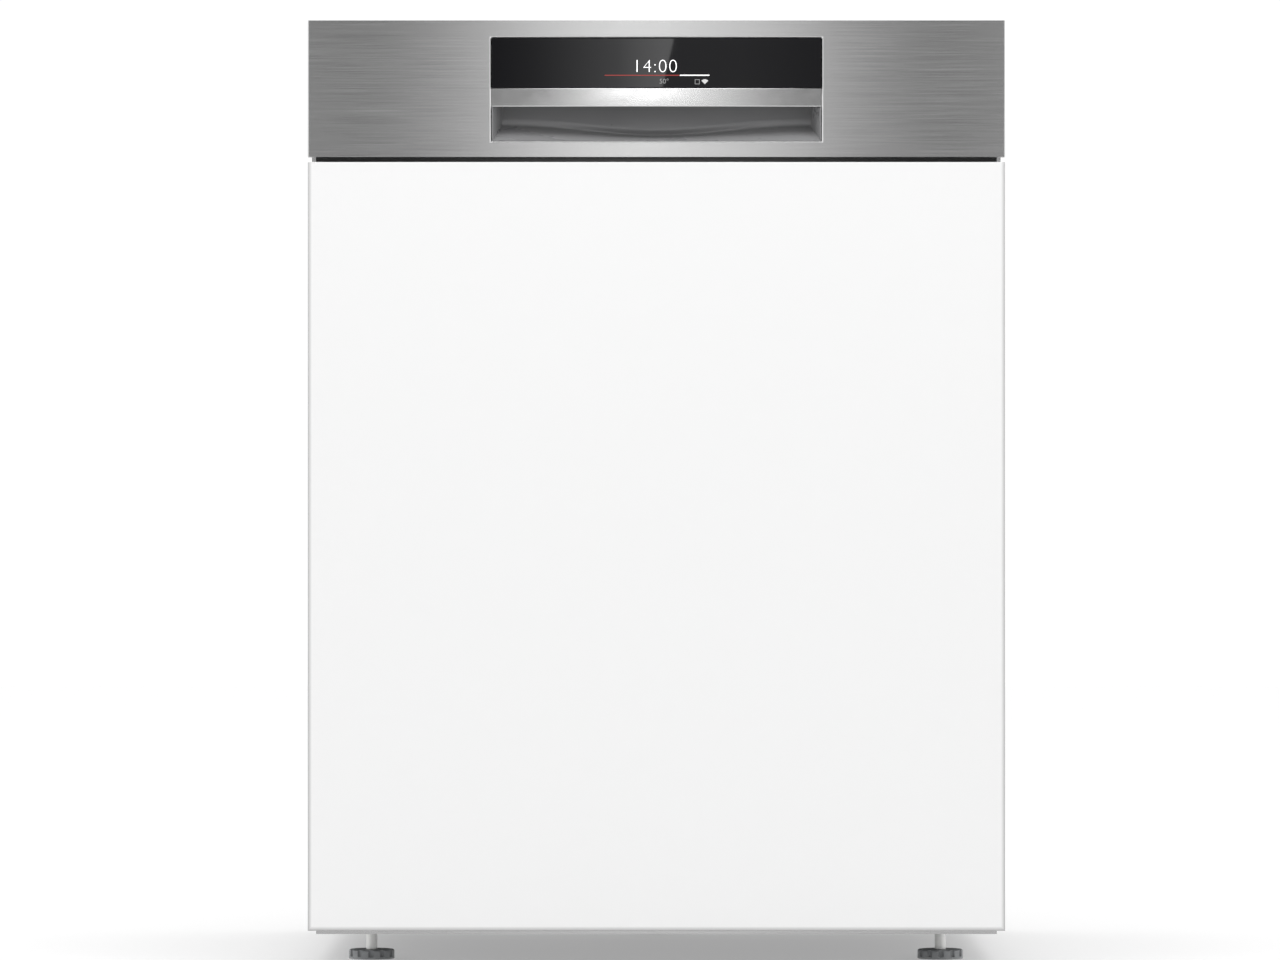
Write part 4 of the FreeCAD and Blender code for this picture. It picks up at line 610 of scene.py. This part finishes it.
def nylon(name, tone):
    """Dipped nylon: satin grey, a little uneven where it ran and cooled."""
    cool_grey = (tone, tone * 1.02, tone * 1.05)
    made, tree, shader, place = finish(name, cool_grey, 0.3)
    shade(tree, shader, cloud(tree, place, 40.0), (tone * 0.85,) * 3, cool_grey)
    dull(tree, shader, cloud(tree, place, 90.0), 0.24, 0.40)
    emboss(tree, shader, cloud(tree, place, 500.0), depth=0.00006, strength=0.4)
    return made


rack_nylon = nylon("rack_nylon", 0.40)
lower_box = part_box("lower_basket")
lower_floor = lower_box[0].z + wire_radius
lower_rim = lower_box[1].z - wire_radius
lower_rails = [lower_floor + rail_lift, (lower_floor + lower_rim) / 2, lower_rim]
lower_rows = (1, 3, 8, 10)
plate_tine_top = lower_floor + 0.0974
lower_rack = wire_basket(
    "lower_rack_wire", lower_box, lower_rails, lower_rim, lower_floor, lower_rows, plate_tine_top
)
lower_rack.data.materials.append(rack_nylon)
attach(lower_rack, "lower_rack")
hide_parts("lower_basket")
coat(rack_nylon, "lower_fold_tines")

rack_moulding = moulded("rack_moulding", (0.33, 0.34, 0.36), 0.4)
coat(rack_moulding, "rack_plastics", "front_wheels", "rear_wheels")
soften(0.0008, "rack_plastics")

# ---------------------------------------------------------------- upper rack
# The same welded and dipped wire as the lower rack, with short tines. Moulded side plates carry it on
# the rails and let it be lifted to a second height, and a wire shelf for cups folds off its left wall.
upper_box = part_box("upper_basket")
upper_floor = upper_box[0].z + wire_radius
upper_rim = upper_box[1].z - wire_radius
upper_rails = [upper_floor + rail_lift, upper_rim]
upper_rows = (1, 4, 6, 9)
cup_tine_top = upper_floor + 0.0514
upper_rack = wire_basket(
    "upper_rack_wire", upper_box, upper_rails, upper_rim, upper_floor, upper_rows, cup_tine_top
)
upper_rack.data.materials.append(rack_nylon)
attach(upper_rack, "upper_rack")
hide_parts("upper_basket")
coat(rack_nylon, "cup_shelf")
coat(rack_moulding, "upper_rack_plastics")
soften(0.0008, "upper_rack_plastics")

# ---------------------------------------------------------------- cutlery drawer
# A shallow tray moulded in one grey plastic, with a slatted floor, low combs that hold cutlery on
# edge, and bars along its sides that slide in the top rails.
coat(rack_moulding, "cutlery_drawer")
soften(0.0006, "cutlery_drawer")

# ---------------------------------------------------------------- door shell
# The door is a folded outer skin and a drawn inner liner, screwed together round a felt pad. The lock
# sits at its top centre, and the touch board behind the glass.
coat(satin_steel("liner_steel", 0.52, 0.26, "x"), "door_liner")
coat(satin_steel("screw_steel", 0.66, 0.22, "y"), "door_fasteners", "lock_pawl")
coat(dark_moulding, "lock_module")
coat(moulded("board_green", (0.02, 0.09, 0.04), 0.4), "control_board")
soften(0.0006, "lock_module")

# ---------------------------------------------------------------- dispenser
# A grey moulding let into the liner. Its lid slides aside over the detergent cup, and the small dark
# cap beside it closes the rinse-aid filler.
coat(moulded("dispenser_grey", (0.27, 0.28, 0.30), 0.38), "dispenser_body")
coat(moulded("lid_grey", (0.36, 0.37, 0.39), 0.33), "dispenser_lid")
coat(moulded("rinse_cap_dark", (0.07, 0.075, 0.085), 0.32), "rinse_cap")
soften(0.0007, "dispenser_body", "dispenser_lid", "rinse_cap")


# ---------------------------------------------------------------- furniture front
# A chipboard panel under smooth white laminate, with a thin grey line of painted shade along its sides
# and its bottom edge. It hangs on screws through the door's outer skin.
def laminate(name, half, low_z):
    """White satin laminate, with a grey line of painted shade along its sides and bottom, finer at the
    sides.
    """
    edge_shade_grey = (0.36, 0.36, 0.36)
    laminate_white = (0.79, 0.79, 0.79)
    shade_line_inner = 0.0013
    shade_line_outer = 0.0009
    finer_by = 0.0004
    made, tree, shader, place = finish(name, laminate_white, 0.30)
    axes = along_axes(tree, place)
    from_side = worked(tree, "SUBTRACT", half + finer_by, worked(tree, "ABSOLUTE", axes["X"]))
    from_below = worked(tree, "SUBTRACT", axes["Z"], low_z)
    nearest = worked(tree, "MINIMUM", from_side, from_below)
    # Painted shade: the grey line along the sides and the bottom edge.
    shade(tree, shader, nearest, edge_shade_grey, laminate_white, start=shade_line_outer, end=shade_line_inner)
    dull(tree, shader, cloud(tree, place, 300.0), 0.29, 0.32)
    emboss(tree, shader, cloud(tree, place, 700.0, detail=1.0), depth=0.000004, strength=0.15)
    return made


panel_low, panel_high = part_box("furniture_panel")
coat(laminate("white_laminate", panel_high.x, panel_low.z), "furniture_panel")
soften(0.0008, "furniture_panel")


# ---------------------------------------------------------------- control fascia
# The fascia is folded stainless steel, brushed along its length, with a bevelled opening pressed in
# for the glass and the grip. The door's outer skin is brushed sheet too: its lower edge shows under
# the panel, and the front of its top, in the joint above the panel, is near-black as painted shade.
def brushed_steel(name, tone, joint_shade_from=None):
    """Stainless steel brushed along X; given a point, its front above and before it is near-black, as
    painted shade.
    """
    made, tree, shader, place = finish(name, (tone, tone, tone), 0.2, metallic=1.0)
    fine = cloud(tree, stretched(tree, place, (14.0, 300.0, 3200.0)), 1.0, detail=2.0)
    wide = cloud(tree, stretched(tree, place, (5.0, 60.0, 1100.0)), 1.0, detail=3.0)
    grain = mixed(tree, fine, wide, share=0.3)
    dull(tree, shader, grain, 0.12, 0.19)
    shade(tree, shader, grain, (tone * 0.95,) * 3, (tone * 1.03,) * 3)
    emboss(tree, shader, grain, depth=0.00001, strength=0.15)
    across_grain = tree.nodes.new("ShaderNodeCombineXYZ")
    across_grain.inputs["Z"].default_value = 1.0
    tree.links.new(across_grain.outputs[0], shader.inputs["Tangent"])
    shader.inputs["Anisotropic"].default_value = 0.95
    # Painted shade: above and before the point the skin's front turns near-black, standing for the shade in
    # the joint.
    if joint_shade_from:
        axes = along_axes(tree, place)
        above = worked(tree, "GREATER_THAN", axes["Z"], joint_shade_from.z)
        before = worked(tree, "LESS_THAN", axes["Y"], joint_shade_from.y)
        joint_shaded = worked(tree, "MULTIPLY", above, before)
        shade(tree, shader, joint_shaded, (tone,) * 3, (0.055,) * 3, start=0.2, end=0.8)
    return made


coat(brushed_steel("fascia_steel", 0.60), "fascia")
soften(0.0004, "fascia")
# Where the painted shade of the joint above the panel begins.
joint_shade_start = panel_high.copy()
joint_shade_start.z -= 0.004
joint_shade_start.y += 0.0005
coat(brushed_steel("skin_steel", 0.46, joint_shade_from=joint_shade_start), "door_skin")

# ---------------------------------------------------------------- finger bowl
# A smooth grey moulding behind the opening. A ramp rises from the lip to a smile-shaped crease, and
# the wall above it runs up behind the trim, so that fingers can pull the door.
bowl_low, bowl_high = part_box("grip_bowl")
trim_low, trim_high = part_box("handle_trim")
bowl_wall = 0.0007
lip_z = bowl_low.z + 0.002
brow_z = lip_z + 0.0048
mouth_half = bowl_high.x - bowl_wall
bowl_back = bowl_high.y - bowl_wall
bowl_deep = bowl_back - bowl_low.y
bowl_start = (-mouth_half, bowl_low.y, lip_z)
bowl_end = (mouth_half, bowl_back, bowl_high.z - bowl_wall)
bowl = box_start("finger_bowl", bowl_start, bowl_end)
pick(bowl, "FACE", lambda place, normal: normal.y < -nearly)
bpy.ops.mesh.delete(type="FACE")
side_slope = 0.0085
pick(bowl, "VERT", lambda place, _: place.y > bowl_back - hair)
bpy.ops.transform.resize(value=(1 - side_slope / mouth_half, 1, 1), center_override=(0, 0, 0))
trim_gap = 0.0004
under_trim = trim_low.z - trim_gap
behind_trim = trim_high.y + trim_gap
for level in (brow_z, under_trim):
    bpy.ops.mesh.select_all(action="SELECT")
    bpy.ops.mesh.bisect(plane_co=(0, 0, level), plane_no=(0, 0, 1))
pick(bowl, "FACE", lambda place, _: place.z > under_trim)
bpy.ops.mesh.bisect(plane_co=(0, behind_trim, 0), plane_no=(0, 1, 0))
pick(bowl, "FACE", lambda place, _: place.z > under_trim and place.y < behind_trim)
bpy.ops.mesh.delete(type="FACE")
pick(bowl, "EDGE", lambda place, way: abs(way.x) > nearly)
bpy.ops.mesh.subdivide(number_cuts=35)
bpy.ops.object.mode_set(mode="OBJECT")
smile_half = 0.125
smile_rise = 0.0085
crease_rise = 0.0058
floor_forward = 0.0035
brow_forward = 0.008
brow_eases = 0.004
back_row = [
    point.index
    for point in bowl.data.vertices
    if point.co.y > bowl_back - hair and point.co.z < brow_z + hair
]
for index in back_row:
    start = bowl.data.vertices[index].co.copy()
    share = min(1.0, abs(start.x) / smile_half)
    outward = share * share * (3 - 2 * share)
    forward = brow_forward - brow_eases * outward if start.z > brow_z - hair else floor_forward
    inward = start.x / mouth_half * side_slope * forward / bowl_deep
    pick(bowl, "VERT", lambda place, _: (place - start).length < hair)
    bpy.ops.transform.translate(value=(inward, -forward, crease_rise + smile_rise * outward))


crease_front = bowl_back - 0.009
crease_low = lip_z + 0.004
crease_high = brow_z + 0.016


def creased(place, way):
    """Whether an edge runs along the foot or the brow of the bowl's back."""
    return place.y > crease_front and crease_low < place.z < crease_high and abs(way.x) > nearly


pick(bowl, "EDGE", creased)
bpy.ops.mesh.bevel(offset=0.0019, segments=4, affect="EDGES")
settled(bowl)
thicken = bowl.modifiers.new("wall", "SOLIDIFY")
thicken.thickness = bowl_wall
thicken.offset = 1.0
bpy.ops.object.modifier_apply(modifier="wall")
bowl_crease = math.radians(35)
bpy.ops.object.shade_smooth_by_angle(angle=bowl_crease)
bowl_grey = (0.26, 0.26, 0.265)
bowl.data.materials.append(moulded("bowl_moulding", bowl_grey, 0.30, grain=1800.0, depth=0.00001))
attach(bowl, "door")
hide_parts("grip_bowl")

# ---------------------------------------------------------------- handle trim
# A bright metal bar under the glass. It is very slightly bowed across the machine, so its ends mirror
# the darker sides of the room, and its edges are broken with a fine bevel.
trim = box_start("trim_bar", trim_low, trim_high)
trim_columns = 33
pick(trim, "EDGE", lambda place, way: abs(way.x) > nearly)
bpy.ops.mesh.subdivide(number_cuts=trim_columns - 2)
pick(trim, "EDGE", lambda place, way: place.y < trim_low.y + hair and abs(way.x) > nearly)
bpy.ops.mesh.bevel(offset=0.0007, segments=3, affect="EDGES")
settled(trim)
bow = 0.0013
before_back = trim_high.y - hair
for x in even(-trim_high.x, trim_high.x, trim_columns):
    pick(trim, "VERT", lambda place, _: abs(place.x - x) < hair and place.y < before_back)
    bpy.ops.transform.translate(value=(0, bow * (x / trim_high.x) ** 2, 0))
settled(trim)
trim_crease = math.radians(50)
bpy.ops.object.shade_smooth_by_angle(angle=trim_crease)
flat = trim.modifiers.new("flat_front", "WEIGHTED_NORMAL")
flat.weight = 90
flat.keep_sharp = True
bpy.ops.object.modifier_apply(modifier="flat_front")


def bright_bar(name, tone):
    """Bright rolled metal, with faint lines of slightly different tone along the bar."""
    made, tree, shader, place = finish(name, (tone, tone, tone), 0.11, metallic=1.0)
    dull(tree, shader, cloud(tree, place, 120.0), 0.10, 0.12)
    lines = cloud(tree, stretched(tree, place, (20.0, 900.0, 2400.0)), 1.0)
    shade(tree, shader, lines, (tone - 0.02,) * 3, (tone + 0.02,) * 3)
    return made


trim.data.materials.append(bright_bar("trim_bar_metal", 0.74))
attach(trim, "door")
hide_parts("handle_trim")


# ---------------------------------------------------------------- touch glass and its display
# Dark glass, printed black behind, with faint smears in its gloss, is glued into the opening. The
# display shows through it: a thin clock, a line with a red start, a temperature and two small signs.
def touch_glass(name):
    """Black-backed glass."""
    made, tree, shader, place = finish(name, (0.006, 0.006, 0.007), 0.04)
    smears = cloud(tree, place, 14.0, detail=6.0)
    dull(tree, shader, smears, 0.0, 0.02)
    shader.inputs["IOR"].default_value = 1.27
    return made


coat(touch_glass("black_glass"), "control_glass")
film = 0.00002
mark_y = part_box("control_glass")[0].y - film


def glow(name, colour, strength):
    """Light through the glass, a little uneven across each figure."""
    made, tree, shader, place = finish(name, colour, 0.3)
    darker = tuple(level * 0.9 for level in colour)
    shade(tree, shader, cloud(tree, place, 900.0, detail=1.0), darker, colour)
    shader.inputs["Emission Color"].default_value = (*colour, 1.0)
    shader.inputs["Emission Strength"].default_value = strength
    return made


figure_share = 0.72


def lettered(name, words, height, middle, thin=0.0, spread=1.0):
    """Flat figures of a given height, made a mesh before they are put in their place."""
    bpy.ops.object.text_add(rotation=upright)
    text = bpy.context.object
    text.name = name
    text.data.body = words
    text.data.size = height / figure_share
    text.data.align_x = "CENTER"
    text.data.align_y = "CENTER"
    text.data.offset = -thin
    text.data.space_character = spread
    bpy.ops.object.convert(target="MESH")
    text.location = middle
    return settled(text)


def shown(piece, material):
    """A mark on the glass rides with the door."""
    piece.data.materials.clear()
    piece.data.materials.append(material)
    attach(piece, "door")


clock_light = glow("clock_light", (0.9, 0.9, 0.9), 0.8)
dim_light = glow("dim_light", (0.25, 0.25, 0.25), 0.25)
clock_middle = (-0.0012, mark_y, 0.7753)
degree_middle = (0.0065, mark_y, 0.7627)
shown(lettered("clock_figures", "14:00", 0.0117, clock_middle, thin=0.0004, spread=1.09), clock_light)
shown(lettered("degree_figures", "50°", 0.0042, degree_middle), dim_light)
line_z = 0.7680


def strip(name, left, right, half):
    """A thin lit line with rounded ends."""
    piece = box_start(name, (left, mark_y - film, line_z - half), (right, mark_y, line_z + half))
    pick(piece, "EDGE", lambda place, way: abs(way.y) > nearly)
    bpy.ops.mesh.bevel(offset=half * 0.9, segments=2, affect="EDGES")
    return settled(piece)


line_left = -0.0445
line_change = 0.0200
line_right = 0.0455
red_light = glow("red_light", (0.30, 0.035, 0.03), 0.3)
shown(strip("line_start", line_left, line_change, 0.00035), red_light)
shown(strip("line_end", line_change, line_right, 0.00045), clock_light)


def fan(name, middle, radius):
    """A small fan-shaped sign."""
    bpy.ops.mesh.primitive_circle_add(
        vertices=48, radius=radius, fill_type="NGON", location=middle, rotation=upright
    )
    piece = settled(bpy.context.object)
    piece.name = name
    for side in (1, -1):
        bpy.ops.object.mode_set(mode="EDIT")
        bpy.ops.mesh.select_all(action="SELECT")
        bpy.ops.mesh.bisect(plane_co=middle, plane_no=(side, 0, -1), clear_outer=True, use_fill=False)
        bpy.ops.object.mode_set(mode="OBJECT")
    return piece


sign_size = 0.0042
square_middle = (0.0350, mark_y, 0.7624)
bpy.ops.mesh.primitive_plane_add(size=sign_size, location=square_middle, rotation=upright)
square = settled(bpy.context.object)
square.name = "square_sign"
pick(square, "FACE", lambda place, normal: True)
bpy.ops.mesh.inset(thickness=0.0005)
bpy.ops.mesh.delete(type="FACE")
bpy.ops.object.mode_set(mode="OBJECT")
shown(square, dim_light)
sign_light = glow("sign_light", (0.5, 0.5, 0.5), 0.4)
shown(fan("signal_sign", (0.0415, mark_y, 0.7604), sign_size), sign_light)
